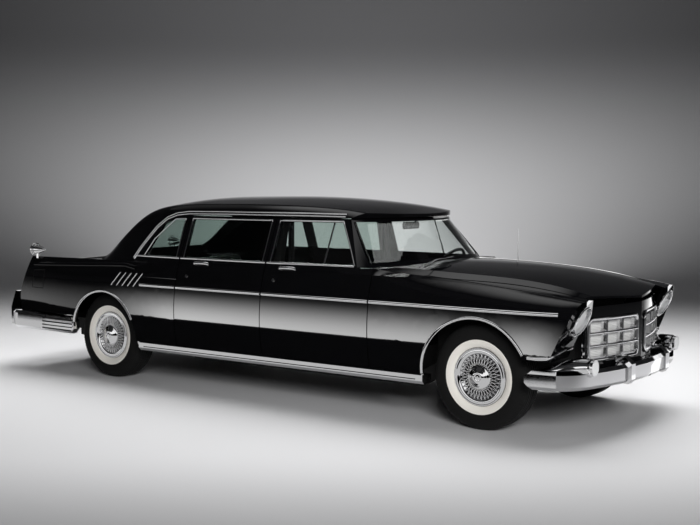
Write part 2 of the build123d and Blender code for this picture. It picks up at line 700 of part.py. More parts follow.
# Roof with the rear pillars, quarter windows and rear window
QUARTER_POST = 52.0
QUARTER_GLASS = [
    (X_C - QUARTER_POST, GLASS_LOW), (rx(-500.0), GLASS_LOW), (rx(-640.0), 1390.0), (rx(-760.0), GLASS_TOP),
    (X_C - QUARTER_POST, GLASS_TOP),
]
CABIN_REAR = rx(700.0)
REAR_GLASS_W = 560.0
REAR_GLASS_LOW = 1130.0
REAR_GLASS_TOP = 1440.0
REAR_GLASS_CORNER = 60.0
HEADER_AHEAD = 40.0
REAR_BORE_L = X_C - CABIN_REAR - 100.0
door_zone = side_cut([
    (X_C - GAP / 2, CABIN_BASE - GAP), (X_FRONT, CABIN_BASE - GAP), (X_FRONT, DRIP_Z),
    (X_C - GAP / 2, DRIP_Z),
])
with BuildPart() as header_plan:
    with BuildSketch(Plane.XY):
        with BuildLine():
            z, centre_x, knee_x, knee_w, end_x, end_w = SCREEN_ROWS[1]
            header = TangentArc(
                (centre_x + HEADER_AHEAD, 0), (knee_x + HEADER_AHEAD, -knee_w - HEADER_AHEAD / 2),
                tangent=(0, -1),
            )
            bend = TangentArc(header @ 1, (end_x, -end_w - HEADER_AHEAD), tangent=header % 1)
            Polyline(bend @ 1, (end_x, -CUT_SIDE), (CABIN_REAR, -CUT_SIDE), (CABIN_REAR, 0), header @ 0)
        make_face()
    extrude(amount=REACH)
with BuildPart() as rear_opening:
    with BuildSketch(Plane.YZ.offset(CABIN_REAR)):
        with Locations((0, (REAR_GLASS_LOW + REAR_GLASS_TOP) / 2)):
            RectangleRounded(2 * REAR_GLASS_W, REAR_GLASS_TOP - REAR_GLASS_LOW, REAR_GLASS_CORNER)
    extrude(amount=REAR_BORE_L)
with BuildPart() as rear_pane_zone:
    with BuildSketch(Plane.YZ.offset(CABIN_REAR)):
        with Locations((0, (REAR_GLASS_LOW + REAR_GLASS_TOP) / 2)):
            RectangleRounded(
                2 * (REAR_GLASS_W - FIT), REAR_GLASS_TOP - REAR_GLASS_LOW - 2 * FIT,
                REAR_GLASS_CORNER - FIT,
            )
    extrude(amount=REAR_BORE_L)
rear_seat_body = body_half(REAR_ROWS, -FIT)
with BuildPart() as roof_right:
    add(cabin_shell)
    add(door_zone, mode=Mode.SUBTRACT)
    add(header_plan.part, mode=Mode.INTERSECT)
    add(side_cut(QUARTER_GLASS), mode=Mode.SUBTRACT)
    add(rear_opening.part, mode=Mode.SUBTRACT)
    add(rear_seat_body, mode=Mode.SUBTRACT)
with BuildPart() as roof:
    add(roof_right.part)
    mirror(about=Plane.XZ)
save(roof, "roof")
with BuildPart() as quarter_pane:
    add(pane & side_cut(shrink(QUARTER_GLASS, FIT)))
quarter_windows = both_sides(quarter_pane.part)
save(quarter_windows, "quarter_windows")
with BuildPart() as rear_pane:
    add(pane & rear_pane_zone.part)
with BuildPart() as rear_window:
    add(rear_pane.part)
    mirror(about=Plane.XZ)
save(rear_window, "rear_window")

# Windscreen frame and glass
PILLAR_W = 46.0
SCREEN_LOW = 1136.0
SCREEN_MID_LOW = 1168.0
SCREEN_TOP = 1442.0
SCREEN_T = 30.0
SCREEN_FRONT = fx(-690.0)
pillar_low = SCREEN_ROWS[0][4] + PILLAR_W
pillar_top = SCREEN_ROWS[1][4] + PILLAR_W
SCREEN_OPENING = [
    (pillar_low, SCREEN_LOW), (SCREEN_FRONT, SCREEN_MID_LOW), (SCREEN_FRONT, SCREEN_TOP),
    (pillar_top, SCREEN_TOP),
]
screen_shell = screen_half(0) - screen_half(SCREEN_T)
front_seat_body = body_half(FRONT_ROWS, -FIT)
with BuildPart() as screen_frame_right:
    add(screen_shell)
    add(front_seat_body, mode=Mode.SUBTRACT)
    add(side_cut(SCREEN_OPENING), mode=Mode.SUBTRACT)
    add(roof_right.part.moved(Location((0, 0, -FIT))), mode=Mode.SUBTRACT)
with BuildPart() as screen_frame:
    add(screen_frame_right.solids().sort_by(SortBy.VOLUME)[-1])
    mirror(about=Plane.XZ)
save(screen_frame, "screen_frame")
with BuildPart() as screen_right:
    screen_pane = screen_half(GLASS_SET) - screen_half(GLASS_SET + GLASS_T)
    add(screen_pane & side_cut(shrink(SCREEN_OPENING, FIT)))
with BuildPart() as windscreen:
    add(screen_right.part)
    mirror(about=Plane.XZ)
save(windscreen, "windscreen")

# Sills, floor and the centre posts that carry the rear doors
SILL_IN = 860.0
SILL_OUT = 978.0
SILL_CHAMFER = 24.0
SILL_SHORT = 30.0
sill_front = X_FRONT + FRONT_ARCH_AHEAD - FRONT_ARCH_R
sill_rear = X_REAR + REAR_ARCH_AHEAD + REAR_ARCH_R + SILL_SHORT
with BuildPart() as sill_right:
    with BuildSketch(Plane.YZ.offset(sill_rear)):
        with BuildLine():
            Polyline(
                (-SILL_IN, SILL_BOTTOM), (-SILL_OUT + SILL_CHAMFER, SILL_BOTTOM),
                (-SILL_OUT, SILL_BOTTOM + SILL_CHAMFER), (-SILL_OUT, SILL_TOP), (-SILL_IN, SILL_TOP),
                close=True,
            )
        make_face()
    extrude(amount=sill_front - sill_rear)
sills = both_sides(sill_right.part)
save(sills, "sills")

RAIL_W = 80.0
RAIL_H = 120.0
RAIL_Y = 380.0
RAIL_Z = 235.0
FLOOR_T = 16.0
FLOOR_Z = RAIL_Z + RAIL_H / 2 + FLOOR_T + FIT
HEEL_X = rx(-760.0)
BOOT_FLOOR_Z = 600.0
BOOT_WELL_Z = 470.0
FLOOR_HALF_W = SILL_IN - FIT
WELL_HALF_W = 620.0
TUNNEL_HALF_W = 130.0
TUNNEL_TOP = 520.0
TUNNEL_OVER = 10.0
TOE_X = fx(-760.0)
HEEL_RUN = 20.0
BOOT_STEP_FRONT = rx(300.0)
BOOT_STEP_REAR = rx(420.0)
FLOOR_REAR = rx(1100.0)
WELL_FRONT = rx(-500.0)
WELL_REAR = rx(1200.0)
floor_line = [
    (FIREWALL - FIT, FIREWALL_LOW + FLOOR_T), (TOE_X, FLOOR_Z), (HEEL_X, FLOOR_Z),
    (HEEL_X - HEEL_RUN, BOOT_FLOOR_Z), (BOOT_STEP_FRONT, BOOT_FLOOR_Z), (BOOT_STEP_REAR, BOOT_WELL_Z),
    (FLOOR_REAR, BOOT_WELL_Z),
]
with BuildPart() as floor_pan:
    with BuildSketch(Plane.XZ.offset(-FLOOR_HALF_W)):
        with BuildLine():
            Polyline(*floor_line, *[(x, z - FLOOR_T) for x, z in reversed(floor_line)], close=True)
        make_face()
    extrude(amount=2 * FLOOR_HALF_W)
    with BuildSketch(Plane.XY):
        for side in (-1, 1):
            with BuildLine():
                Polyline(
                    (WELL_FRONT, side * WELL_HALF_W), (WELL_REAR, side * WELL_HALF_W),
                    (WELL_REAR, side * CUT_SIDE), (WELL_FRONT, side * CUT_SIDE), close=True,
                )
            make_face()
    extrude(amount=REACH, mode=Mode.SUBTRACT)
    with BuildSketch(Plane.YZ.offset(HEEL_X - TUNNEL_OVER)):
        with Locations((0, FLOOR_Z - FLOOR_T)):
            Rectangle(2 * TUNNEL_HALF_W, TUNNEL_TOP - FLOOR_Z + FLOOR_T, align=(Align.CENTER, Align.MIN))
    extrude(amount=FIREWALL - FIT - HEEL_X + TUNNEL_OVER)
    with BuildSketch(Plane.YZ.offset(HEEL_X - TUNNEL_OVER - 3 * FLOOR_T)):
        Rectangle(2 * (TUNNEL_HALF_W - FLOOR_T), TUNNEL_TOP - FLOOR_T, align=(Align.CENTER, Align.MIN))
    extrude(amount=REACH, mode=Mode.SUBTRACT)
save(floor_pan, "floor_pan")

POST_HALF = 40.0
POST_CLEAR = 30.0
POST_OUT = DOOR_IN - POST_CLEAR
POST_T = 60.0
POST_AHEAD = 20.0
LEAF_SINK = 10.0
UPPER_POST_LOW = ROOF_LOW - 12.0
UPPER_POST_IN = 660.0
UPPER_POST_KNEE = 728.0
UPPER_POST_OUT = 770.0
UPPER_POST_STEP = DRIP_Z + 6.0
UPPER_POST_TOP = 1600.0
UPPER_POST = [
    (-POST_OUT + GAP, UPPER_POST_LOW), (-POST_OUT + POST_T, UPPER_POST_LOW), (-UPPER_POST_IN, DRIP_Z),
    (-UPPER_POST_IN, UPPER_POST_TOP), (-UPPER_POST_OUT, UPPER_POST_TOP), (-UPPER_POST_OUT, UPPER_POST_STEP),
    (-UPPER_POST_KNEE, UPPER_POST_STEP),
]
post_rows = [
    (front_door_front, X_A + POST_AHEAD, X_A + POST_AHEAD + 2 * POST_HALF),
    (rear_door_front, X_B - POST_HALF, X_B + POST_HALF),
]
with BuildPart() as upper_post:
    with BuildSketch(Plane.YZ.offset(X_B - POST_HALF)):
        with BuildLine():
            Polyline(*UPPER_POST, close=True)
        make_face()
    extrude(amount=2 * POST_HALF)
    add(cabin_half(ROOF_T + FIT), mode=Mode.INTERSECT)
with BuildPart() as post_right:
    for front_edge, rear_x, front_x in post_rows:
        with BuildSketch(Plane.XY.offset(FLOOR_Z + FIT)):
            with BuildLine():
                Polyline(
                    (rear_x, -POST_OUT), (front_x, -POST_OUT), (front_x, -POST_OUT + POST_T),
                    (rear_x, -POST_OUT + POST_T), close=True,
                )
            make_face()
        extrude(amount=ROOF_LOW - GAP - FLOOR_Z)
        axis_x = front_edge - HINGE_BACK
        for z in HINGE_Z:
            with BuildSketch(Plane.XY.offset(z - HINGE_LEAF_T / 2)):
                with BuildLine():
                    Polyline(
                        (axis_x - HINGE_LEAF_R, -HINGE_W), (axis_x + HINGE_LEAF_R, -HINGE_W),
                        (axis_x + HINGE_LEAF_R, -HINGE_W + LEAF_REACH), (rear_x + POST_HALF, -POST_OUT),
                        (rear_x + POST_HALF, -POST_OUT + LEAF_SINK), (rear_x, -POST_OUT + LEAF_SINK),
                        (axis_x - HINGE_LEAF_R, -HINGE_W + LEAF_REACH + 2 * HINGE_LEAF_R), close=True,
                    )
                make_face()
                with Locations((axis_x, -HINGE_W)):
                    Circle(HINGE_LEAF_R)
            extrude(amount=HINGE_LEAF_T)
            with BuildSketch(Plane.XY.offset(z - HINGE_PIN_HALF)):
                with Locations((axis_x, -HINGE_W)):
                    Circle(HINGE_PIN_R)
            extrude(amount=2 * HINGE_PIN_HALF)
    add(upper_post.part)
door_posts = both_sides(post_right.part)
save(door_posts, "door_posts")

# Ladder frame: two rails with kick-ups over the axles, and crossmembers
RAIL_FRONT_Z = 390.0
RAIL_KICK_Z = 515.0
rail_line = [
    (fx(700.0), RAIL_FRONT_Z), (fx(-480.0), RAIL_FRONT_Z), (TOE_X, RAIL_Z), (rx(-620.0), RAIL_Z),
    (rx(-330.0), RAIL_KICK_Z), (rx(250.0), RAIL_KICK_Z), (rx(400.0), RAIL_FRONT_Z), (FLOOR_REAR, RAIL_FRONT_Z),
]
CROSS_DROP = 30.0
CROSS_ROWS = [
    (fx(560.0), RAIL_FRONT_Z), (X_FRONT, RAIL_FRONT_Z - CROSS_DROP), (fx(-1250.0), RAIL_Z),
    (rx(-900.0), RAIL_Z), (rx(1040.0), RAIL_FRONT_Z),
]
CROSS_L = 90.0
CROSS_H = 70.0
with BuildPart() as chassis_frame:
    for side in (-1, 1):
        with BuildSketch(Plane.XZ.offset(side * RAIL_Y - RAIL_W / 2)):
            with BuildLine():
                Polyline(
                    *[(x, z + RAIL_H / 2) for x, z in rail_line],
                    *[(x, z - RAIL_H / 2) for x, z in reversed(rail_line)], close=True,
                )
            make_face()
        extrude(amount=RAIL_W)
    for x, z in CROSS_ROWS:
        with Locations((x, 0, z)):
            Box(CROSS_L, 2 * RAIL_Y, CROSS_H)

# Front suspension arms on the rails, with an eye at each end of the kingpin
KINGPIN_Y = FRONT_TRACK / 2 - KINGPIN_IN
ARM_Z = KNUCKLE_HALF + ARM_T / 2 + FIT
ARM_ROOT_Y = RAIL_Y + RAIL_W / 2
ARM_ROOT_HALF = 150.0
ARM_EYE_R = 30.0
ARM_SINK = 10.0
with BuildPart() as arms_right:
    for level in (-1, 1):
        with BuildSketch(Plane.XY.offset(TYRE_R + level * ARM_Z - ARM_T / 2)):
            with BuildLine():
                Polyline(
                    (fx(-ARM_ROOT_HALF), -ARM_ROOT_Y + ARM_SINK), (fx(ARM_ROOT_HALF), -ARM_ROOT_Y + ARM_SINK),
                    (fx(ARM_EYE_R), -KINGPIN_Y), (fx(-ARM_EYE_R), -KINGPIN_Y), close=True,
                )
            make_face()
            with Locations((X_FRONT, -KINGPIN_Y)):
                Circle(ARM_EYE_R)
                Circle(KINGPIN_R + FIT, mode=Mode.SUBTRACT)
        extrude(amount=ARM_T)
    with Locations((X_FRONT, -ARM_ROOT_Y - ARM_SINK + RAIL_W / 2, TYRE_R)):
        Box(2 * ARM_ROOT_HALF, RAIL_W, 2 * ARM_Z + ARM_T)
    add(chassis_frame.part, mode=Mode.SUBTRACT)
front_suspension = both_sides(arms_right.part)
save(front_suspension, "front_suspension")

# Inner wheelhouses: upright wall on the rail, shelf over the tyre up to the fender
HOUSE_T = 12.0
HOUSE_Y = RAIL_Y + RAIL_W / 2 + FIT
HOUSE_SHELF_Z = 850.0
HOUSE_OUT = 740.0
HOUSE_TOP_Z = 960.0
HOUSE_FRONT = 520.0
HOUSE_CUT_Z = 1100.0
house_line = [
    (-HOUSE_Y, RAIL_FRONT_Z), (-HOUSE_Y, HOUSE_SHELF_Z), (-HOUSE_OUT, HOUSE_TOP_Z), (-HOUSE_OUT, HOUSE_CUT_Z),
]
with BuildPart() as house_right:
    with BuildSketch(Plane.YZ.offset(FIREWALL + FIREWALL_T + FIT)):
        with BuildLine():
            Polyline(*house_line, *[(y - HOUSE_T, z - HOUSE_T) for y, z in reversed(house_line)], close=True)
        make_face()
    extrude(amount=fx(HOUSE_FRONT) - FIREWALL - FIREWALL_T - FIT)
    add(body_half(FRONT_ROWS, SKIN + FIT), mode=Mode.INTERSECT)
    add(chassis_frame.part, mode=Mode.SUBTRACT)
    add(arms_right.part, mode=Mode.SUBTRACT)
wheelhouses = both_sides(house_right.part)
save(wheelhouses, "wheelhouses")

# Knuckles: kingpin post with the spindle of the wheel
SPINDLE_OUT = 46.0
with BuildPart() as knuckle_right:
    with BuildSketch(Plane.XY.offset(TYRE_R - KNUCKLE_HALF)):
        with Locations((X_FRONT, -KINGPIN_Y)):
            Circle(KNUCKLE_R)
    extrude(amount=2 * KNUCKLE_HALF)
    with BuildSketch(Plane.XY.offset(TYRE_R - KNUCKLE_HALF - ARM_T)):
        with Locations((X_FRONT, -KINGPIN_Y)):
            Circle(KINGPIN_R)
    extrude(amount=2 * KNUCKLE_HALF + 2 * ARM_T)
    with BuildSketch(Plane.XZ.offset(KINGPIN_Y)):
        with Locations((X_FRONT, TYRE_R)):
            Circle(SPINDLE_R)
    extrude(amount=KINGPIN_IN + SPINDLE_OUT)
save(knuckle_right, "knuckle_right")
with BuildPart() as knuckle_left:
    add(knuckle_right.part)
    mirror(about=Plane.XZ, mode=Mode.REPLACE)
save(knuckle_left, "knuckle_left")

# Rear axle with its housing and brake drums
AXLE_R = 44.0
HOUSING_R = 165.0
DRUM_R = 150.0
DRUM_L = 60.0
DRUM_CLEAR = 6.0
DRUM_OUT = REAR_TRACK / 2 - HUB_IN - DRUM_CLEAR
with BuildPart() as rear_axle:
    with BuildSketch(Plane.XZ.offset(-REAR_TRACK / 2 - SPINDLE_OUT)):
        with Locations((X_REAR, TYRE_R)):
            Circle(SPINDLE_R)
    extrude(amount=REAR_TRACK + 2 * SPINDLE_OUT)
    with BuildSketch(Plane.XZ.offset(-DRUM_OUT)):
        with Locations((X_REAR, TYRE_R)):
            Circle(AXLE_R)
    extrude(amount=2 * DRUM_OUT)
    with Locations((X_REAR, 0, TYRE_R)):
        Sphere(HOUSING_R)
    for side in (-1, 1):
        drum_plane = Plane.XZ.offset(side * (DRUM_OUT - DRUM_L / 2))
        with Locations(drum_plane.location * Location((X_REAR, TYRE_R, 0))):
            Cylinder(DRUM_R, DRUM_L)
save(rear_axle, "rear_axle")

# Leaf springs under the axle, hung on shackles outside the rails
SPRING_Y = 470.0
SPRING_W = 60.0
SPRING_T = 40.0
SPRING_FRONT = rx(-690.0)
SPRING_REAR = rx(780.0)
SPRING_END_Z = 360.0
SHACKLE_FRONT_Z = 310.0
SHACKLE_REAR_Z = 366.0
SHACKLE_L = 70.0
SHACKLE_H = 160.0
spring_low = TYRE_R - AXLE_R - SPRING_T - FIT
with BuildPart() as spring_right:
    with BuildSketch(Plane.XZ.offset(SPRING_Y - SPRING_W / 2)):
        with BuildLine():
            bow = ThreePointArc(
                (SPRING_FRONT, SPRING_END_Z), (X_REAR, spring_low), (SPRING_REAR, SPRING_END_Z),
            )
            crown = ThreePointArc(
                (SPRING_FRONT, SPRING_END_Z + SPRING_T), (X_REAR, spring_low + SPRING_T),
                (SPRING_REAR, SPRING_END_Z + SPRING_T),
            )
            Line(bow @ 0, crown @ 0)
            Line(bow @ 1, crown @ 1)
        make_face()
    extrude(amount=SPRING_W)
    for x, z in ((SPRING_FRONT, SHACKLE_FRONT_Z), (SPRING_REAR, SHACKLE_REAR_Z)):
        with Locations((x, -(RAIL_Y + RAIL_W / 2 + SPRING_Y + SPRING_W / 2) / 2, z)):
            Box(SHACKLE_L, SPRING_Y + SPRING_W / 2 - RAIL_Y - RAIL_W / 2, SHACKLE_H)
leaf_springs = both_sides(spring_right.part)
save(leaf_springs, "leaf_springs")

# Engine and gearbox as one plain mass, with the propeller shaft behind
ENGINE_FRONT = fx(260.0)
ENGINE_REAR = fx(-480.0)
ENGINE_HALF_W = 255.0
ENGINE_RISE = 5.0
ENGINE_LOW = RAIL_FRONT_Z + ENGINE_RISE
ENGINE_TOP = 930.0
GEARBOX_REAR = fx(-1180.0)
GEARBOX_HALF = 105.0
GEARBOX_Z = 395.0
with BuildPart() as engine:
    with Locations(((ENGINE_FRONT + ENGINE_REAR) / 2, 0, (ENGINE_LOW + ENGINE_TOP) / 2)):
        Box(ENGINE_FRONT - ENGINE_REAR, 2 * ENGINE_HALF_W, ENGINE_TOP - ENGINE_LOW)
    with Locations(((ENGINE_REAR + GEARBOX_REAR) / 2, 0, GEARBOX_Z)):
        Box(ENGINE_REAR - GEARBOX_REAR, 2 * GEARBOX_HALF, 2 * GEARBOX_HALF)
save(engine, "engine")
SHAFT_R = 45.0
with BuildPart() as prop_shaft:
    with BuildSketch(Plane.YZ.offset(X_REAR + HOUSING_R + FIT)):
        with Locations((0, TYRE_R)):
            Circle(SHAFT_R)
    extrude(amount=GEARBOX_REAR - FIT - X_REAR - HOUSING_R - FIT)
save(prop_shaft, "prop_shaft")

# Wheels: rim, cover and hub in one turned piece, tyre around it
COVER_OUT = 96.0
HUB_OUT = 126.0
RIM_R = BEAD_R - FIT
WELL_R = 165.0
RIM_IN = 85.0
DISC_HUB_W = 30.0
DISC_RIM_W = 40.0
LIP = 8.0
DISH_R = 172.0
DISH = [(125.0, 66.0), (84.0, 70.0), (62.0, 108.0), (40.0, 122.0)]
SPINDLE_END = 50.0
WHEEL_PROFILE = [
    (SPINDLE_R + FIT, -HUB_IN), (HUB_R, -HUB_IN), (HUB_R, DISC_HUB_W), (WELL_R, DISC_RIM_W),
    (WELL_R, -RIM_IN), (RIM_R, -RIM_IN), (RIM_R, BEAD_HALF_W + LIP), (COVER_R, BEAD_HALF_W + 2 * LIP),
    (COVER_R - LIP / 4, COVER_OUT), (DISH_R, COVER_OUT - LIP / 2), *DISH, (0.0, HUB_OUT),
    (0.0, SPINDLE_END), (SPINDLE_R + FIT, SPINDLE_END),
]
WHEELS = [
    ("front", "right", X_FRONT, FRONT_TRACK / 2), ("front", "left", X_FRONT, FRONT_TRACK / 2),
    ("rear", "right", X_REAR, REAR_TRACK / 2), ("rear", "left", X_REAR, REAR_TRACK / 2),
]
with BuildPart() as wheel_shape:
    with BuildSketch(Plane.XY):
        with BuildLine():
            Polyline(*WHEEL_PROFILE, close=True)
        make_face()
    revolve(axis=Axis.Y)
TYRE_PROFILE = [
    (BEAD_R, BEAD_HALF_W), (FLANK_R, TYRE_HALF_W), (SHOULDER_R, SHOULDER_HALF_W), (TYRE_R, TREAD_HALF_W),
]
with BuildPart() as tyre_shape:
    with BuildSketch(Plane.XY):
        with BuildLine():
            Polyline(*TYRE_PROFILE, *[(r, -w) for r, w in reversed(TYRE_PROFILE)], close=True)
        make_face()
    revolve(axis=Axis.Y)
for end, side, x, half_track in WHEELS:
    turn = 180 if side == "right" else 0
    place = Location((x, half_track if side == "left" else -half_track, TYRE_R), (0, 0, turn))
    with BuildPart() as wheel:
        add(wheel_shape.part.moved(place))
    save(wheel, f"wheel_{end}_{side}")
    with BuildPart() as tyre:
        add(tyre_shape.part.moved(place))
    save(tyre, f"tyre_{end}_{side}")

# Headlamps: hooded bezel and lens on the slanted fender face
BEZEL_R = 108.0
LENS_R = 90.0
LENS_T = 20.0
VISOR = 26.0
HOOD_TIP = (14.0, 136.0)
HOOD_TIP_R = 10.0
BEZEL_REACH = 260.0
LENS_BORE_X = fx(500.0)
LENS_BORE_L = 300.0
BEZEL_BORE_L = 400.0
bezel_rear = fx(640.0)
with BuildPart() as bezel_right:
    with BuildSketch(Plane.YZ.offset(bezel_rear)):
        with Locations((-LAMP_Y, LAMP_Z)):
            Circle(BEZEL_R)
        with Locations((-LAMP_Y + HOOD_TIP[0], LAMP_Z + HOOD_TIP[1])):
            Circle(HOOD_TIP_R)
        make_hull()
    extrude(amount=BEZEL_REACH)
    add(behind_lamp.moved(Location((VISOR, 0, 0))), mode=Mode.INTERSECT)
    add(behind_lamp.moved(Location((FIT, 0, 0))), mode=Mode.SUBTRACT)
    with BuildSketch(Plane.YZ.offset(LENS_BORE_X)):
        with Locations((-LAMP_Y, LAMP_Z)):
            Circle(LAMP_HOLE_R - FIT)
    extrude(amount=LENS_BORE_L)
    add(behind_lamp.moved(Location((VISOR, 0, 0))), mode=Mode.INTERSECT)
    add(behind_lamp.moved(Location((-SKIN, 0, 0))), mode=Mode.SUBTRACT)
    with BuildSketch(Plane.YZ.offset(LENS_BORE_X)):
        with Locations((-LAMP_Y, LAMP_Z)):
            Circle(LENS_R + FIT)
    extrude(amount=BEZEL_BORE_L, mode=Mode.SUBTRACT)
lamp_bezels = both_sides(bezel_right.part)
save(lamp_bezels, "lamp_bezels")

# Front bumper: wrapped bar with guards and bullet pods that end in parking lamps
BUMPER_LOW = 358.0
BUMPER_TOP = 490.0
BUMPER_T = 70.0
BUMPER_ROUND = 24.0
END_ROUND = 46.0
BUMPER_CORNER = (fx(790.0), 780.0)
BUMPER_SIDE = (fx(640.0), 968.0)
BUMPER_END = (fx(420.0), 1000.0)
POD_R = 56.0
POD_Z = 508.0
POD_Y = 752.0
POD_FRONT = fx(824.0)
POD_TAIL = fx(600.0)
POD_NECK_R = 30.0
PARK_LENS_R = 46.0
PARK_LENS_T = 14.0
GUARD_Y = 320.0
GUARD_HALF_W = 34.0
GUARD_BACK = 120.0
GUARD_TOP = 545.0


def bumper_half(face, corner, side_point, end, low, top, heading):
    with BuildPart() as half:
        with BuildSketch(Plane.XY.offset(low)):
            with BuildLine():
                mid = (face - (face - corner[0]) / 4, -corner[1] / 2)
                outer = ThreePointArc((face, 0), mid, (corner[0], -corner[1]))
                bend = TangentArc(outer @ 1, (side_point[0], -side_point[1]), tangent=outer % 1)
                flank = Line(bend @ 1, (end[0], -end[1]))
                back = Line(flank @ 1, (end[0], -end[1] + BUMPER_T))
                in_flank = Line(back @ 1, (side_point[0], -side_point[1] + BUMPER_T))
                in_bend = Line(in_flank @ 1, (corner[0] - heading * BUMPER_T, -corner[1] + BUMPER_T / 2))
                in_face = Line(in_bend @ 1, (face - heading * BUMPER_T, 0))
                Line(in_face @ 1, (face, 0))
            make_face()
        extrude(amount=top - low)
        rims = half.faces().filter_by(Axis.Z).edges()
        flanks = rims.filter_by(GeomType.LINE).filter_by(lambda rim: rim.center().Y < -side_point[1])
        chamfer(rims.filter_by(GeomType.CIRCLE) + flanks, BUMPER_ROUND)
        with BuildSketch(Plane.XZ):
            with BuildLine():
                Polyline(
                    (end[0], top), (end[0] + heading * END_ROUND, top), (end[0], top - END_ROUND), close=True,
                )
            make_face()
            with BuildLine():
                Polyline(
                    (end[0], low), (end[0] + heading * END_ROUND, low), (end[0], low + END_ROUND), close=True,
                )
            make_face()
        extrude(amount=REACH, mode=Mode.SUBTRACT)
    return half.part


with BuildPart() as front_bumper_right:
    add(bumper_half(HALF_LENGTH, BUMPER_CORNER, BUMPER_SIDE, BUMPER_END, BUMPER_LOW, BUMPER_TOP, 1))
    with BuildSketch(Plane.XY.offset(POD_Z)):
        with BuildLine():
            Polyline(
                (POD_TAIL, -POD_Y), (POD_TAIL, -POD_Y - POD_NECK_R), (POD_FRONT - POD_R, -POD_Y - POD_R),
                (POD_FRONT, -POD_Y - POD_R), (POD_FRONT, -POD_Y), close=True,
            )
        make_face()
    revolve(axis=Axis((POD_TAIL, -POD_Y, POD_Z), (1, 0, 0)))
    with BuildSketch(Plane.YZ.offset(POD_FRONT)):
        with Locations((-POD_Y, POD_Z)):
            Circle(PARK_LENS_R + FIT)
    extrude(amount=-PARK_LENS_T, mode=Mode.SUBTRACT)
    with BuildSketch(Plane.XZ.offset(GUARD_Y - GUARD_HALF_W)):
        with BuildLine():
            Polyline(
                (HALF_LENGTH - GUARD_BACK, BUMPER_LOW), (HALF_LENGTH - BUMPER_ROUND, BUMPER_LOW - GAP),
                (HALF_LENGTH, BUMPER_LOW + BUMPER_ROUND), (HALF_LENGTH, BUMPER_TOP),
                (HALF_LENGTH - GUARD_BACK / 2, GUARD_TOP), (HALF_LENGTH - GUARD_BACK, GUARD_TOP), close=True,
            )
        make_face()
    extrude(amount=2 * GUARD_HALF_W)
with BuildPart() as front_bumper:
    add(front_bumper_right.part)
    mirror(about=Plane.XZ)
save(front_bumper, "front_bumper")

# Lenses of the headlamps and of the parking lamps
with BuildPart() as lens_right:
    with BuildSketch(Plane.YZ.offset(LENS_BORE_X)):
        with Locations((-LAMP_Y, LAMP_Z)):
            Circle(LENS_R)
    extrude(amount=LENS_BORE_L)
    add(behind_lamp, mode=Mode.INTERSECT)
    add(behind_lamp.moved(Location((-LENS_T, 0, 0))), mode=Mode.SUBTRACT)
    with BuildSketch(Plane.YZ.offset(POD_FRONT - PARK_LENS_T + FIT)):
        with Locations((-POD_Y, POD_Z)):
            Circle(PARK_LENS_R)
    extrude(amount=PARK_LENS_T)
lamp_lenses = both_sides(lens_right.part)
save(lamp_lenses, "lamp_lenses")

# Rear bumper: wrapped bar with ribbed flanks, and a tower at each fender's end
REAR_CORNER = (rx(1380.0), 780.0)
REAR_SIDE = (rx(1180.0), 960.0)
REAR_END = (REAR_SKIRT_X - GAP, 985.0)
REAR_LOW = 372.0
REAR_TOP = 536.0
RIB_COUNT = 4
RIB_STEP = 36.0
RIB_H = 16.0
RIB_OUT = 7.0
RIB_FRONT = REAR_END[0] - 2 * GAP
RIB_REAR = rx(760.0)
RIB_LOW_Z = 400.0
TOWER = dict(
    front=rx(1172.0), rear=rx(1330.0), top_rear=rx(1262.0), inner=800.0, outer=915.0, top=716.0,
)
with BuildPart() as rear_bumper_right:
    add(bumper_half(-HALF_LENGTH, REAR_CORNER, REAR_SIDE, REAR_END, REAR_LOW, REAR_TOP, -1))
    for rib in range(RIB_COUNT):
        with BuildSketch(Plane.XY.offset(RIB_LOW_Z + rib * RIB_STEP)):
            with BuildLine():
                Polyline(
                    (RIB_FRONT, -REAR_END[1] - RIB_OUT), (RIB_REAR, -REAR_SIDE[1] - 2 * RIB_OUT),
                    (RIB_REAR, -REAR_SIDE[1] + 2 * RIB_OUT), (RIB_FRONT, -REAR_END[1] + RIB_OUT), close=True,
                )
            make_face()
        extrude(amount=RIB_H)
    with BuildSketch(Plane.XZ.offset(TOWER["inner"])):
        with BuildLine():
            Polyline(
                (TOWER["front"], REAR_LOW + BUMPER_ROUND), (TOWER["rear"], REAR_LOW + BUMPER_ROUND),
                (TOWER["rear"], REAR_TOP + BUMPER_ROUND), (TOWER["top_rear"], TOWER["top"]),
                (TOWER["front"] - 2 * BUMPER_ROUND, TOWER["top"]), (TOWER["front"], REAR_TOP), close=True,
            )
        make_face()
    extrude(amount=TOWER["outer"] - TOWER["inner"])
with BuildPart() as rear_bumper:
    add(rear_bumper_right.part)
    mirror(about=Plane.XZ)
save(rear_bumper, "rear_bumper")

# Brackets at the ends of the frame rails, which carry both bumpers
BRACKET_W = 60.0
BRACKET_H = 60.0
BRACKET_Z = 410.0
BRACKET_REACH = 60.0
bracket_rows = [
    (rail_line[0][0], HALF_LENGTH - BRACKET_REACH), (rail_line[-1][0], -HALF_LENGTH + BRACKET_REACH),
]
with BuildPart() as braced_frame:
    add(chassis_frame.part)
    for side in (-1, 1):
        for start, stop in bracket_rows:
            with Locations(((start + stop) / 2, side * RAIL_Y, BRACKET_Z)):
                Box(abs(stop - start), BRACKET_W, BRACKET_H)
    add(front_bumper.part.moved(Location((-FIT, 0, 0))), mode=Mode.SUBTRACT)
    add(rear_bumper.part.moved(Location((FIT, 0, 0))), mode=Mode.SUBTRACT)
    add(tail_panel.part, mode=Mode.SUBTRACT)
save(braced_frame, "chassis_frame")

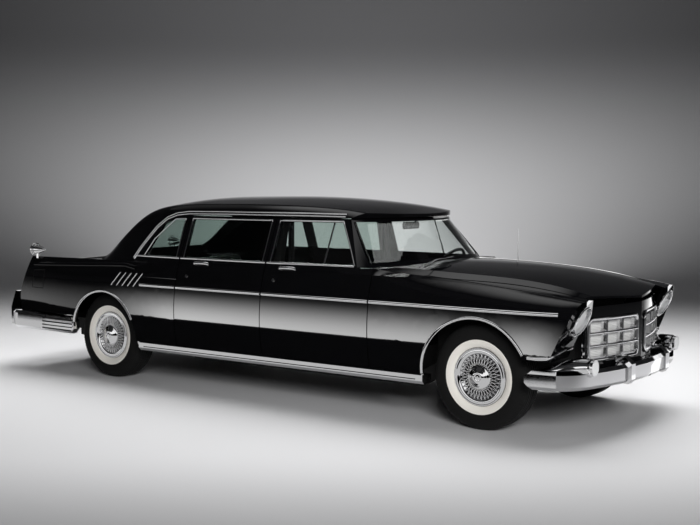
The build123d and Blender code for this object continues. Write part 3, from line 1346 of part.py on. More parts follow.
# Tail lamps on the fins: turned housings on short stalks, lenses facing back
TAIL_LAMP_X = rx(940.0)
TAIL_LAMP_Y = 899.0
TAIL_LAMP_Z = 1120.0
TAIL_RING_R = 46.0
TAIL_LAMP_L = 120.0
TAIL_LENS_R = 34.0
TAIL_LENS_T = 24.0
STALK_R = 16.0
STALK_LOW = 1040.0
with BuildPart() as tail_lamp_right:
    with BuildSketch(Plane.XY):
        with BuildLine():
            rim = Line((0, -TAIL_LAMP_L / 2), (TAIL_RING_R, -TAIL_LAMP_L / 2))
            belly = TangentArc(rim @ 1, (0, TAIL_LAMP_L), tangent=(0, 1))
            Line(belly @ 1, rim @ 0)
        make_face()
    revolve(axis=Axis.Y)
    with BuildSketch(Plane.XZ.offset(TAIL_LAMP_L / 2 - TAIL_LENS_T)):
        Circle(TAIL_LENS_R + FIT)
    extrude(amount=TAIL_LENS_T, mode=Mode.SUBTRACT)
lamp_place = Location((TAIL_LAMP_X, -TAIL_LAMP_Y, TAIL_LAMP_Z), (0, 0, -90))
with BuildPart() as tail_housing:
    add(tail_lamp_right.part.moved(lamp_place))
    with BuildSketch(Plane.XY.offset(STALK_LOW)):
        with Locations((TAIL_LAMP_X, -TAIL_LAMP_Y)):
            Circle(STALK_R)
    extrude(amount=TAIL_LAMP_Z - STALK_LOW - TAIL_RING_R / 2)
    add(quarter_right.part.moved(Location((0, 0, FIT))), mode=Mode.SUBTRACT)
    add(rear_seat_body, mode=Mode.SUBTRACT)
tail_lamps = both_sides(tail_housing.part)
save(tail_lamps, "tail_lamps")
with BuildPart() as tail_lens_right:
    with BuildSketch(Plane.YZ.offset(TAIL_LAMP_X - TAIL_LAMP_L / 2)):
        with Locations((-TAIL_LAMP_Y, TAIL_LAMP_Z)):
            Circle(TAIL_LENS_R)
    extrude(amount=TAIL_LENS_T - FIT)
tail_lenses = both_sides(tail_lens_right.part)
save(tail_lenses, "tail_lenses")

# Dashboard, bored later for the steering column
DASH_LOW = 820.0
DASH_TOP = 1024.0
DASH_REAR = fx(-900.0)
DASH_HALF_W = 700.0
DASH_LIP = 60.0
DASH_TUCK = 40.0
DASH_DEPTH = 120.0
with BuildPart() as dashboard:
    with BuildSketch(Plane.XZ.offset(-DASH_HALF_W)):
        with BuildLine():
            Polyline(
                (FIREWALL - FIT, DASH_TOP), (DASH_REAR + DASH_LIP, DASH_TOP),
                (DASH_REAR, DASH_TOP - DASH_LIP),
                (DASH_REAR + DASH_TUCK, DASH_LOW), (DASH_REAR + DASH_DEPTH, DASH_LOW),
                (FIREWALL - FIT, DASH_LOW + DASH_LIP), close=True,
            )
        make_face()
    extrude(amount=2 * DASH_HALF_W)

# Bench seats: label, front edge, floor, cushion height, back height, half width
SEAT_FRONT = fx(-1180.0)
SEAT_ROWS = [
    ("front_seat", SEAT_FRONT, FLOOR_Z, 360.0, 700.0, 700.0),
    ("rear_seat", rx(-860.0), BOOT_FLOOR_Z, 100.0, 450.0, 600.0),
]
CUSHION_L = 500.0
CUSHION_FALL = 40.0
BACK_T = 150.0
BACK_RAKE = 70.0
for label, front_x, floor_z, cushion_h, back_h, half_w in SEAT_ROWS:
    cushion_rear = front_x - CUSHION_L
    back_rear = cushion_rear - BACK_T
    with BuildPart() as seat:
        with BuildSketch(Plane.XZ.offset(-half_w)):
            with BuildLine():
                Polyline(
                    (front_x, floor_z), (front_x, floor_z + cushion_h),
                    (cushion_rear, floor_z + cushion_h - CUSHION_FALL),
                    (cushion_rear - BACK_RAKE, floor_z + back_h), (back_rear, floor_z + back_h),
                    (back_rear, floor_z), close=True,
                )
            make_face()
        extrude(amount=2 * half_w)
        with BuildSketch(Plane.YZ.offset(HEEL_X)):
            Rectangle(2 * (TUNNEL_HALF_W + FIT), 2 * (TUNNEL_TOP + FIT))
        extrude(amount=REACH, mode=Mode.SUBTRACT)
    save(seat, label)

# Steering column and wheel on the left side
STEER_Y = 400.0
STEER_HUB = (fx(-1040.0), 1010.0)
COLUMN_ROOT = (FIREWALL - FIT, 700.0)
COLUMN_R = 26.0
STEER_R = 210.0
STEER_RIM_R = 13.0
RIM_SIDES = 8
STEER_SHAFT_R = 12.0
STEER_SHAFT_L = 40.0
COLUMN_START = 20.0
STEER_HUB_R = 40.0
STEER_HUB_UP = 6.0
STEER_HUB_L = 34.0
STEER_BAR_UP = 12.0
STEER_BAR_W = 24.0
STEER_BAR_T = 14.0
STEER_BAR_EYE_R = 30.0
column_dir = Vector(STEER_HUB[0] - COLUMN_ROOT[0], 0, STEER_HUB[1] - COLUMN_ROOT[1])
column_l = column_dir.length
column_plane = Plane(origin=(COLUMN_ROOT[0], STEER_Y, COLUMN_ROOT[1]), x_dir=(0, 1, 0), z_dir=column_dir)
hub_plane = column_plane.offset(column_l)
rim_plane = Plane(
    origin=hub_plane.offset(STEER_BAR_UP + STEER_BAR_T / 2).origin, x_dir=(0, 1, 0),
    z_dir=hub_plane.x_dir.cross(hub_plane.z_dir),
)
with BuildPart() as steering_column:
    with BuildSketch(column_plane.offset(COLUMN_START)):
        Circle(COLUMN_R)
    extrude(amount=column_l - COLUMN_START)
    with BuildSketch(hub_plane):
        Circle(STEER_SHAFT_R)
    extrude(amount=STEER_SHAFT_L)
with BuildPart() as dash_cut:
    with BuildSketch(column_plane):
        Circle(COLUMN_R + FIT)
    extrude(amount=column_l)
save(steering_column, "steering_column")
with BuildPart() as dash_bored:
    add(dashboard.part)
    add(dash_cut.part, mode=Mode.SUBTRACT)
save(dash_bored, "dashboard")
with BuildPart() as steering_wheel:
    with BuildSketch(hub_plane.offset(STEER_HUB_UP)):
        Circle(STEER_HUB_R)
        Circle(STEER_SHAFT_R + FIT, mode=Mode.SUBTRACT)
    extrude(amount=STEER_HUB_L)
    with BuildSketch(hub_plane.offset(STEER_BAR_UP)):
        Rectangle(2 * STEER_R, STEER_BAR_W)
        Circle(STEER_BAR_EYE_R, mode=Mode.SUBTRACT)
    extrude(amount=STEER_BAR_T)
    with BuildSketch(rim_plane):
        with Locations((STEER_R, 0)):
            RegularPolygon(STEER_RIM_R, RIM_SIDES)
    revolve(axis=Axis(hub_plane.origin, hub_plane.z_dir))
save(steering_wheel, "steering_wheel")

# Division between the compartments: panel and glass
DIVISION_GAP = 10.0
DIVISION_X = SEAT_FRONT - CUSHION_L - BACK_T - DIVISION_GAP
DIVISION_T = 30.0
DIVISION_TOP = 1470.0
DIVISION_FRAME = 40.0
DIVISION_GLASS_LOW = 1040.0
DIVISION_GLASS_TOP = 1440.0
DIVISION_HALF_W = 690.0
division_glass_w = DIVISION_HALF_W - DIVISION_FRAME
division_glass_h = DIVISION_GLASS_TOP - DIVISION_GLASS_LOW
division_mid_z = (DIVISION_GLASS_LOW + DIVISION_GLASS_TOP) / 2
with BuildPart() as division:
    with BuildSketch(Plane.YZ.offset(DIVISION_X - DIVISION_T)):
        with BuildLine():
            Polyline(
                (-DIVISION_HALF_W, TUNNEL_TOP + FIT), (DIVISION_HALF_W, TUNNEL_TOP + FIT),
                (DIVISION_HALF_W, DIVISION_TOP), (-DIVISION_HALF_W, DIVISION_TOP), close=True,
            )
        make_face()
        with Locations((0, division_mid_z)):
            Rectangle(2 * division_glass_w, division_glass_h, mode=Mode.SUBTRACT)
    extrude(amount=DIVISION_T)
save(division, "division")
with BuildPart() as division_glass:
    with Locations((DIVISION_X - DIVISION_T / 2, 0, division_mid_z)):
        Box(GLASS_T, 2 * (division_glass_w - FIT), division_glass_h - 2 * FIT)
save(division_glass, "division_glass")

# Fuel tank under the boot floor
TANK_FRONT = rx(500.0)
TANK_L = 480.0
TANK_HALF_W = 320.0
TANK_H = 130.0
with BuildPart() as fuel_tank:
    with Locations((TANK_FRONT - TANK_L / 2, 0, BOOT_WELL_Z - FLOOR_T - TANK_H / 2)):
        Box(TANK_L, 2 * TANK_HALF_W, TANK_H)
save(fuel_tank, "fuel_tank")
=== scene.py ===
# %% [markdown]
# A long black formal limousine, dressed for the studio. The solids come ready made in one frame, in metres:
# +X is the front of the car, +Y its left side, +Z up. This lesson gives them paint, chrome, glass and
# rubber, and adds the thin bright trim that a body shop would screw on last.

# %% Load the frame
import json
from math import cos, pi, radians, sin, tau

import bmesh
import bpy
from mathutils import Matrix, Vector
from mathutils.bvhtree import BVHTree

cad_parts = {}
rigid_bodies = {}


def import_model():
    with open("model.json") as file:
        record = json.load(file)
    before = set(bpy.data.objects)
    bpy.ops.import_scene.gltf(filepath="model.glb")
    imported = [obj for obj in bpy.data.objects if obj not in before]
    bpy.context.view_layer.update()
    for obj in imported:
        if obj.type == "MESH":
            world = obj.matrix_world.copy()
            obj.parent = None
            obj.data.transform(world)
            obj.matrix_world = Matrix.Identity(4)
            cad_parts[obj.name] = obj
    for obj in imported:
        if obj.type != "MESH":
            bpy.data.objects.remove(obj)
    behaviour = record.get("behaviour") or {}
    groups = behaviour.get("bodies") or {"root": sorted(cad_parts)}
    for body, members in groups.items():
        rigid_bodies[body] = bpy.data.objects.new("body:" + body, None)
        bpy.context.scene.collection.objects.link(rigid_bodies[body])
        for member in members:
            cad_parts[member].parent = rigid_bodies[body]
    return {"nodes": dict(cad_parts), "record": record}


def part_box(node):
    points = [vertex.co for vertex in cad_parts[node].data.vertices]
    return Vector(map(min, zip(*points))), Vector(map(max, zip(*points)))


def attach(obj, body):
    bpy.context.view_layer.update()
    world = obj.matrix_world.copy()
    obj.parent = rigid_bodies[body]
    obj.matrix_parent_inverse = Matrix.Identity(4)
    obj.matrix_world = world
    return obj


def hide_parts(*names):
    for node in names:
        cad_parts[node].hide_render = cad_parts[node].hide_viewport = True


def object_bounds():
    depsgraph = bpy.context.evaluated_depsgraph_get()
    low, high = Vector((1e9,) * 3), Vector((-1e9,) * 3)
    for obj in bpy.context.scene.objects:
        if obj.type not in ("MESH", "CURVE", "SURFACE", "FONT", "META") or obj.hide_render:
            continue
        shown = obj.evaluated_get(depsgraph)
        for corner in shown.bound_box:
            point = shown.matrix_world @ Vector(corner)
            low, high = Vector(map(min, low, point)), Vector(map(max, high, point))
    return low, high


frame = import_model()
cad_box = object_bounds()
nodes = frame["nodes"]
scene = bpy.context.scene
scene.view_settings.view_transform = "Standard"

# %% [markdown]
# The camera comes first, because every later choice is judged through it. The photo's vanishing lines give
# its place: about nine metres off the front right corner, a little above the roof, with a long lens.

# %% Camera
LENS = 58.9
SENSOR = 36.0
CAMERA_PLACE = (6.141, -7.850, 1.747)
CAMERA_PITCH = radians(86.01)
CAMERA_YAW = radians(36.16)

camera_data = bpy.data.cameras.new("studio_camera")
camera_data.lens = LENS
camera_data.sensor_width = SENSOR
camera = bpy.data.objects.new("studio_camera", camera_data)
camera.location = CAMERA_PLACE
camera.rotation_euler = (CAMERA_PITCH, 0.0, CAMERA_YAW)
scene.collection.objects.link(camera)
scene.camera = camera
print("camera lens", LENS, "mm")

# %% [markdown]
# Materials are small node trees. Each one has a main colour on the shader itself and a little noise in its
# roughness or bump, so that no surface is perfectly even. The noise reads Object coordinates, which for
# these pieces are the metres of the car itself.

# %% Finishes
COAT_ROUGH = 0.02
NOISE_DETAIL = 3.0
BUMP_DEPTH = 0.001


def finish(
    name, colour, roughness, metallic=0.0, ior=1.45, coat=0.0, transmission=0.0,
    grain=40.0, uneven=0.02, bump=0.0,
):
    """A Principled finish. Noise makes its roughness uneven and, where bump is set, its surface too."""
    made = bpy.data.materials.new(name)
    made.use_nodes = True
    tree = made.node_tree
    shader = tree.nodes["Principled BSDF"]
    constants = {
        "Base Color": (*colour, 1.0), "Metallic": metallic, "IOR": ior, "Coat Weight": coat,
        "Coat Roughness": COAT_ROUGH, "Transmission Weight": transmission,
    }
    for socket, value in constants.items():
        shader.inputs[socket].default_value = value
    place = tree.nodes.new("ShaderNodeTexCoord")
    noise = tree.nodes.new("ShaderNodeTexNoise")
    noise.inputs["Scale"].default_value = grain
    noise.inputs["Detail"].default_value = NOISE_DETAIL
    tree.links.new(place.outputs["Object"], noise.inputs["Vector"])
    spread = tree.nodes.new("ShaderNodeMapRange")
    spread.inputs["To Min"].default_value = max(0.0, roughness - uneven)
    spread.inputs["To Max"].default_value = roughness + uneven
    tree.links.new(noise.outputs["Fac"], spread.inputs["Value"])
    tree.links.new(spread.outputs["Result"], shader.inputs["Roughness"])
    if bump > 0:
        swell = tree.nodes.new("ShaderNodeBump")
        swell.inputs["Strength"].default_value = bump
        swell.inputs["Distance"].default_value = BUMP_DEPTH
        tree.links.new(noise.outputs["Fac"], swell.inputs["Height"])
        tree.links.new(swell.outputs["Normal"], shader.inputs["Normal"])
    return made


BLACK_PAINT = finish("black_enamel", (0.0025, 0.0025, 0.003), 0.03, ior=1.5, grain=300.0, uneven=0.015)
CHROME = finish("bright_chrome", (0.80, 0.80, 0.81), 0.05, metallic=1.0, grain=60.0, uneven=0.03)
STEEL = finish("brushed_steel", (0.55, 0.55, 0.56), 0.28, metallic=1.0, grain=90.0, uneven=0.08)
GLASS = finish("green_tint_glass", (0.94, 0.975, 0.96), 0.0, transmission=1.0, grain=5.0, uneven=0.0)
SHADED_GLASS = finish("rear_privacy_glass", (0.60, 0.70, 0.66), 0.0, transmission=1.0, grain=5.0, uneven=0.0)
LENS_GLASS = finish("fluted_lens", (0.93, 0.94, 0.94), 0.12, coat=1.0, grain=90.0, bump=0.5)
RED_LENS = finish("red_lens", (0.42, 0.012, 0.012), 0.08, coat=0.6, grain=90.0, bump=0.15)
RUBBER = finish("tyre_rubber", (0.012, 0.012, 0.012), 0.62, ior=1.25, grain=220.0, uneven=0.1, bump=0.2)
WHITEWALL = finish("whitewall_rubber", (0.86, 0.83, 0.77), 0.5, ior=1.3, grain=30.0, uneven=0.08, bump=0.08)
UNDERBODY = finish("chassis_black", (0.016, 0.016, 0.016), 0.55, grain=50.0, uneven=0.12, bump=0.3)
LEATHER = finish("grey_leather", (0.10, 0.105, 0.10), 0.42, grain=260.0, uneven=0.08, bump=0.35)
DASH_BLACK = finish("dash_black", (0.014, 0.014, 0.015), 0.3, grain=160.0, uneven=0.06, bump=0.1)
# Near black, used as painted shade in the wheel dish behind the spokes and in the chrome grooves, and as the
# dark fuel door gap.
SHADE_AND_GAP_BLACK = finish("painted_shade_and_gap_black", (0.012, 0.012, 0.012), 0.5, grain=80.0, uneven=0.1)

SLOT_FINISH = {
    "paint": BLACK_PAINT, "chrome": CHROME, "glass": GLASS, "tyre": RUBBER, "lens": LENS_GLASS,
    "red_lens": RED_LENS, "seat": LEATHER, "trim": DASH_BLACK, "black_plastic": DASH_BLACK,
    "underbody": UNDERBODY,
}
SHADED = ("rear_door_glass_left", "rear_door_glass_right", "quarter_windows", "rear_window")
for subpart in frame["record"]["subparts"]:
    solid = nodes[subpart["node"]]
    solid.data.materials.clear()
    dress = SHADED_GLASS if subpart["node"] in SHADED else SLOT_FINISH[subpart["material_slot"]]
    solid.data.materials.append(dress)
print("finishes:", len(SLOT_FINISH), "slots dressed")

# %% [markdown]
# Trim lies on the skin, so a helper shoots a ray from the side at a wanted length and height and returns
# where it meets the metal, and which way the metal faces there. Nothing is then placed by eye.

# %% Finding the skin
SIDES = {"right": -1.0, "left": 1.0}
FAR_OUT = 2.0
FAR_END = 4.0
STEP = 0.04
FINE_STEP = 0.03
FINEST_STEP = 0.02


def skin_tree(*names):
    points = []
    faces = []
    for name in names:
        mesh = nodes[name].data
        start = len(points)
        points += [v.co.copy() for v in mesh.vertices]
        faces += [[start + i for i in p.vertices] for p in mesh.polygons]
    return BVHTree.FromPolygons(points, faces)


def on_side(tree, x, z, side):
    """The skin's point and outward direction at length x and height z, seen from one side."""
    hit = tree.ray_cast(Vector((x, side * FAR_OUT, z)), Vector((0.0, -side, 0.0)))
    if hit[0] is None:
        return None
    normal = hit[1] if hit[1].y * side > 0 else -hit[1]
    return hit[0], normal


def stepped(points, step=STEP):
    """Points about one step apart along a chain of straight runs."""
    path = [Vector(points[0])]
    for start, end in zip(points, points[1:]):
        run = Vector(end) - Vector(start)
        count = max(1, round(run.length / step))
        path += [Vector(start) + run * (i / count) for i in range(1, count + 1)]
    return path


# %% [markdown]
# Every piece of dress is a mesh that rides on one body of the frame. Two helpers keep that alike
# everywhere: one makes a mesh from plain lists and turns its faces outward, the other puts it in the scene
# on its body.

# %% Meshes and pieces
def closed_mesh(name, points, faces, finishes, picks=None, weld=0.0, smooth=True):
    """A mesh from plain lists, with its faces turned outward. picks gives each face's finish number."""
    mesh = bpy.data.meshes.new(name)
    mesh.from_pydata(points, [], faces)
    for dress in finishes:
        mesh.materials.append(dress)
    if picks:
        mesh.polygons.foreach_set("material_index", picks)
    shape = bmesh.new()
    shape.from_mesh(mesh)
    if weld:
        bmesh.ops.remove_doubles(shape, verts=shape.verts, dist=weld)
    bmesh.ops.recalc_face_normals(shape, faces=shape.faces)
    shape.to_mesh(mesh)
    shape.free()
    mesh.polygons.foreach_set("use_smooth", [smooth] * len(mesh.polygons))
    return mesh


def settle(name, mesh, body):
    """Puts a mesh in the scene as a piece that rides on a body."""
    piece = bpy.data.objects.new(name, mesh)
    scene.collection.objects.link(piece)
    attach(piece, body)
    return piece


# %% [markdown]
# Every bright strip on the car is the same idea: a flattened round section drawn along a line on the skin.
# Curve to Mesh in Geometry Nodes does exactly that, and Set Curve Normal keeps the flat face of the section
# on the metal. One tree with a width, a rise and a finish makes the side spear, the belt line, the arches
# and the window frames.

# %% Moulding tree
STRIP_POINTS = 12


def new_tree(name, inputs):
    tree = bpy.data.node_groups.new(name, "GeometryNodeTree")
    tree.interface.new_socket("Geometry", in_out="INPUT", socket_type="NodeSocketGeometry")
    sockets = {}
    for label, kind, value in inputs:
        socket = tree.interface.new_socket(label, in_out="INPUT", socket_type=kind)
        if value is not None:
            socket.default_value = value
        sockets[label] = socket.identifier
    tree.interface.new_socket("Geometry", in_out="OUTPUT", socket_type="NodeSocketGeometry")
    return tree, sockets


def add_node(tree, kind, **settings):
    node = tree.nodes.new(kind)
    for key, value in settings.items():
        setattr(node, key, value)
    return node


def close_tree(tree, geometry, inlet, finish_label):
    """Ends a tree the same way every time: realize, shade smooth, set the finish."""
    real = add_node(tree, "GeometryNodeRealizeInstances")
    smooth = add_node(tree, "GeometryNodeSetShadeSmooth")
    dress = add_node(tree, "GeometryNodeSetMaterial")
    outlet = add_node(tree, "NodeGroupOutput")
    tree.links.new(geometry, real.inputs["Geometry"])
    tree.links.new(real.outputs["Geometry"], smooth.inputs["Geometry"])
    tree.links.new(smooth.outputs["Geometry"], dress.inputs["Geometry"])
    tree.links.new(inlet.outputs[finish_label], dress.inputs["Material"])
    tree.links.new(dress.outputs["Geometry"], outlet.inputs["Geometry"])


def moulding_tree():
    tree, sockets = new_tree("moulding_on_skin", [
        ("Strip width", "NodeSocketFloat", 0.02), ("Strip rise", "NodeSocketFloat", 0.01),
        ("Finish", "NodeSocketMaterial", None),
    ])
    inlet = add_node(tree, "NodeGroupInput")
    line = add_node(tree, "GeometryNodeMeshToCurve")
    lie = add_node(tree, "GeometryNodeInputNamedAttribute", data_type="FLOAT_VECTOR")
    lie.inputs["Name"].default_value = "lie"
    turn = add_node(tree, "GeometryNodeSetCurveNormal", mode="FREE")
    section = add_node(tree, "GeometryNodeCurvePrimitiveCircle")
    section.inputs["Resolution"].default_value = STRIP_POINTS
    section.inputs["Radius"].default_value = 0.5
    shape = add_node(tree, "ShaderNodeCombineXYZ")
    shape.inputs["Z"].default_value = 1.0
    flatten = add_node(tree, "GeometryNodeTransform")
    sweep = add_node(tree, "GeometryNodeCurveToMesh")
    sweep.inputs["Fill Caps"].default_value = True
    tree.links.new(inlet.outputs["Geometry"], line.inputs["Mesh"])
    tree.links.new(line.outputs["Curve"], turn.inputs["Curve"])
    tree.links.new(lie.outputs["Attribute"], turn.inputs["Normal"])
    tree.links.new(inlet.outputs["Strip rise"], shape.inputs["X"])
    tree.links.new(inlet.outputs["Strip width"], shape.inputs["Y"])
    tree.links.new(section.outputs["Curve"], flatten.inputs["Geometry"])
    tree.links.new(shape.outputs["Vector"], flatten.inputs["Scale"])
    tree.links.new(turn.outputs["Curve"], sweep.inputs["Curve"])
    tree.links.new(flatten.outputs["Geometry"], sweep.inputs["Profile Curve"])
    close_tree(tree, sweep.outputs["Mesh"], inlet, "Finish")
    return tree, sockets


MOULDING, MOULDING_INPUTS = moulding_tree()
SIDE_MARGIN = 0.0002
WIDEST = cad_box[1][1] - SIDE_MARGIN


def grown(name, seed_mesh, tree, sockets, values, body):
    """Runs a tree on a seed mesh and keeps the result as a plain piece that rides on a body."""
    seed = bpy.data.objects.new(name + "_seed", seed_mesh)
    scene.collection.objects.link(seed)
    modifier = seed.modifiers.new("grow", "NODES")
    modifier.node_group = tree
    for label, value in values.items():
        modifier[sockets[label]] = value
    bpy.context.view_layer.update()
    grown_mesh = bpy.data.meshes.new_from_object(seed.evaluated_get(bpy.context.evaluated_depsgraph_get()))
    bpy.data.objects.remove(seed)
    grown_mesh.name = name
    for v in grown_mesh.vertices:
        v.co.y = min(max(v.co.y, -WIDEST), WIDEST)
    return settle(name, grown_mesh, body)


def moulding(name, lines, strip, body, dress=CHROME):
    """One piece of trim with a strip's (width, rise). Each line is a list of (point, outward direction)."""
    points = []
    normals = []
    edges = []
    for line in lines:
        start = len(points)
        points += [p for p, n in line]
        normals += [n for p, n in line]
        edges += [(i, i + 1) for i in range(start, len(points) - 1)]
    mesh = bpy.data.meshes.new(name + "_line")
    mesh.from_pydata(points, edges, [])
    lie = mesh.attributes.new("lie", "FLOAT_VECTOR", "POINT")
    lie.data.foreach_set("vector", [c for n in normals for c in n])
    values = {"Strip width": strip[0], "Strip rise": strip[1], "Finish": dress}
    return grown(name, mesh, MOULDING, MOULDING_INPUTS, values, body)


def skin_line(tree, points, side, step=STEP):
    """A line on the skin through (x, z) points, left out where the skin is missing."""
    hits = [on_side(tree, p.x, p.y, side) for p in stepped([Vector((x, z, 0.0)) for x, z in points], step)]
    return [h for h in hits if h]


# %% [markdown]
# The side spear runs from the rear fender to the headlamp at one height, broken only at the door gaps, so
# each panel carries its own length of it and swings away with it. The belt line under the windows is made
# the same way.

# %% Spear and belt line
DOOR_GAP = 0.005
SPEAR_Z = 0.870
BELT_Z = 1.114
SPEAR_REAR_X = -1.116
SPEAR_FRONT_X = 2.800
SPEAR_STRIP = (0.026, 0.016)
BELT_STRIP = (0.018, 0.014)


def span(node):
    low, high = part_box(node)
    return low.x, high.x


door_c, door_b = span("rear_door_right")
door_b2, door_a = span("front_door_right")
PANELS = [
    ("quarter_panels", "body", SPEAR_REAR_X, door_c - 2 * DOOR_GAP),
    ("rear_door", "rear_door", door_c + DOOR_GAP, door_b - DOOR_GAP),
    ("front_door", "front_door", door_b2 + DOOR_GAP, door_a - DOOR_GAP),
    ("front_fenders", "body", door_a + 2 * DOOR_GAP, SPEAR_FRONT_X),
]
for side_name, side in SIDES.items():
    for panel, body, rear_x, front_x in PANELS:
        on_door = panel.endswith("door")
        node = f"{panel}_{side_name}" if on_door else panel
        carrier = f"{body}_{side_name}" if on_door else body
        tree = skin_tree(node)
        spear = skin_line(tree, [(rear_x, SPEAR_Z), (front_x, SPEAR_Z)], side)
        moulding(f"spear_{panel}_{side_name}", [spear], SPEAR_STRIP, carrier)
        if on_door:
            belt = skin_line(tree, [(rear_x, BELT_Z), (front_x, BELT_Z)], side)
            moulding(f"belt_{panel}_{side_name}", [belt], BELT_STRIP, carrier)
print("spear and belt: one length per panel")

# %% [markdown]
# Bright edges follow the wheel arches, and short bends turn up each end of the sill to meet them. An arch
# is a circle on the side view, so the line is worked out from its centre and radius and then dropped on the
# skin a little outside the cut.

# %% Arch mouldings
WHEEL_Z = 0.381
ARCHES = [
    dict(name="front", node="front_fenders", x=2.1835, radius=0.432, start=-2.0, stop=152.0),
    dict(name="rear", node="quarter_panels", x=-1.5805, radius=0.411, start=4.0, stop=154.0),
]
ARCH_STEPS = 64
ARCH_STRIP = (0.022, 0.016)
SILL_TURNS = {
    "front": [(1.690, 0.338), (1.730, 0.343), (1.746, 0.356), (1.750, 0.380)],
    "rear": [(-1.100, 0.338), (-1.140, 0.343), (-1.160, 0.356), (-1.166, 0.380)],
}
SILL_OUT = 0.962
SILL_STRIP = (0.024, 0.020)


def arch_line(tree, arch, side):
    line = []
    for i in range(ARCH_STEPS + 1):
        angle = radians(arch["start"] + (arch["stop"] - arch["start"]) * i / ARCH_STEPS)
        x = arch["x"] - arch["radius"] * cos(angle)
        z = WHEEL_Z + arch["radius"] * sin(angle)
        hit = on_side(tree, x, z, side)
        if hit:
            line.append(hit)
    return line


for side_name, side in SIDES.items():
    out = Vector((0.0, side, 0.0))
    for end, turn in SILL_TURNS.items():
        bend = [(Vector((x, side * SILL_OUT, z)), out) for x, z in turn]
        moulding(f"sill_turn_{end}_{side_name}", [bend], SILL_STRIP, "body")
    for arch in ARCHES:
        tree = skin_tree(arch["node"])
        moulding(f"arch_{arch['name']}_{side_name}", [arch_line(tree, arch, side)], ARCH_STRIP, "body")
print("arches:", len(ARCHES) * 2)

# %% [markdown]
# A tyre is a turned shape: one section drawn from bead to bead and spun about the axle. The section carries
# the rounded flank, the shoulder and five tread ribs, and the faces of the outer flank between two radii
# get the pale rubber of the whitewall.

# %% Tyres
TYRE_SECTION = [
    (0.196, 0.066), (0.203, 0.080), (0.208, 0.087), (0.210, 0.092), (0.216, 0.097), (0.240, 0.105),
    (0.266, 0.111), (0.270, 0.1105), (0.273, 0.1115), (0.300, 0.1128), (0.325, 0.110), (0.345, 0.1045),
    (0.358, 0.097), (0.367, 0.089), (0.374, 0.080), (0.378, 0.071), (0.380, 0.062), (0.3735, 0.060),
    (0.3735, 0.055), (0.3806, 0.053), (0.3808, 0.034), (0.3735, 0.032), (0.3735, 0.027), (0.381, 0.025),
    (0.381, 0.008), (0.3735, 0.006),
]
WHITE_FROM = 0.2085
WHITE_TO = 0.2685
TURNS = 96
LATHE_WELD = 0.00001


def lathe(name, section, place, outward, dress, body, pick=None):
    """Spins a section of (radius, width) about the axle. pick gives a face's finish number."""
    points = []
    faces = []
    picks = []
    count = len(section)
    for t in range(TURNS):
        angle = tau * t / TURNS
        points += [place + Vector((r * cos(angle), outward * w, r * sin(angle))) for r, w in section]
    for t in range(TURNS):
        here = t * count
        there = ((t + 1) % TURNS) * count
        for i in range(count):
            j = (i + 1) % count
            faces.append((here + i, here + j, there + j, there + i))
            picks.append(pick(section[i], section[j]) if pick else 0)
    mesh = closed_mesh(name, points, faces, dress, picks, LATHE_WELD)
    return settle(name, mesh, body)


def white_band(a, b):
    inside = WHITE_FROM <= min(a[0], b[0]) and max(a[0], b[0]) <= WHITE_TO
    return 1 if inside and a[1] > 0 and b[1] > 0 else 0


WHEELS = []
for end in ("front", "rear"):
    for side_name, side in SIDES.items():
        low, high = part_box(f"tyre_{end}_{side_name}")
        WHEELS.append((end, side_name, side, (low + high) / 2))
tyre_section = TYRE_SECTION + [(r, -w) for r, w in reversed(TYRE_SECTION)]
for end, side_name, side, place in WHEELS:
    body = f"wheel_{end}_{side_name}"
    name = f"road_tyre_{end}_{side_name}"
    tyre = lathe(name, tyre_section, place, side, (RUBBER, WHITEWALL), body, white_band)
    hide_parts(f"tyre_{end}_{side_name}")
print("tyres:", len(WHEELS), "of", len(tyre_section), "section points")

# %% [markdown]
# The wheel covers are dressed as wire wheels: two crossing sets of thin spokes between a bright rim and a
# hub. One Geometry Nodes tree stands a spoke on every point of a ring and turns it about the axle, so the
# count, the length and the slant are plain inputs.

# %% Wire spokes
SPOKES = 34
SPOKE_R = 0.0030
SPOKE_POINTS = 6
SPOKE_HUB = (0.080, 0.103)
SPOKE_RIM = (0.162, 0.0880)
SPOKE_SLANT = radians(13.0)


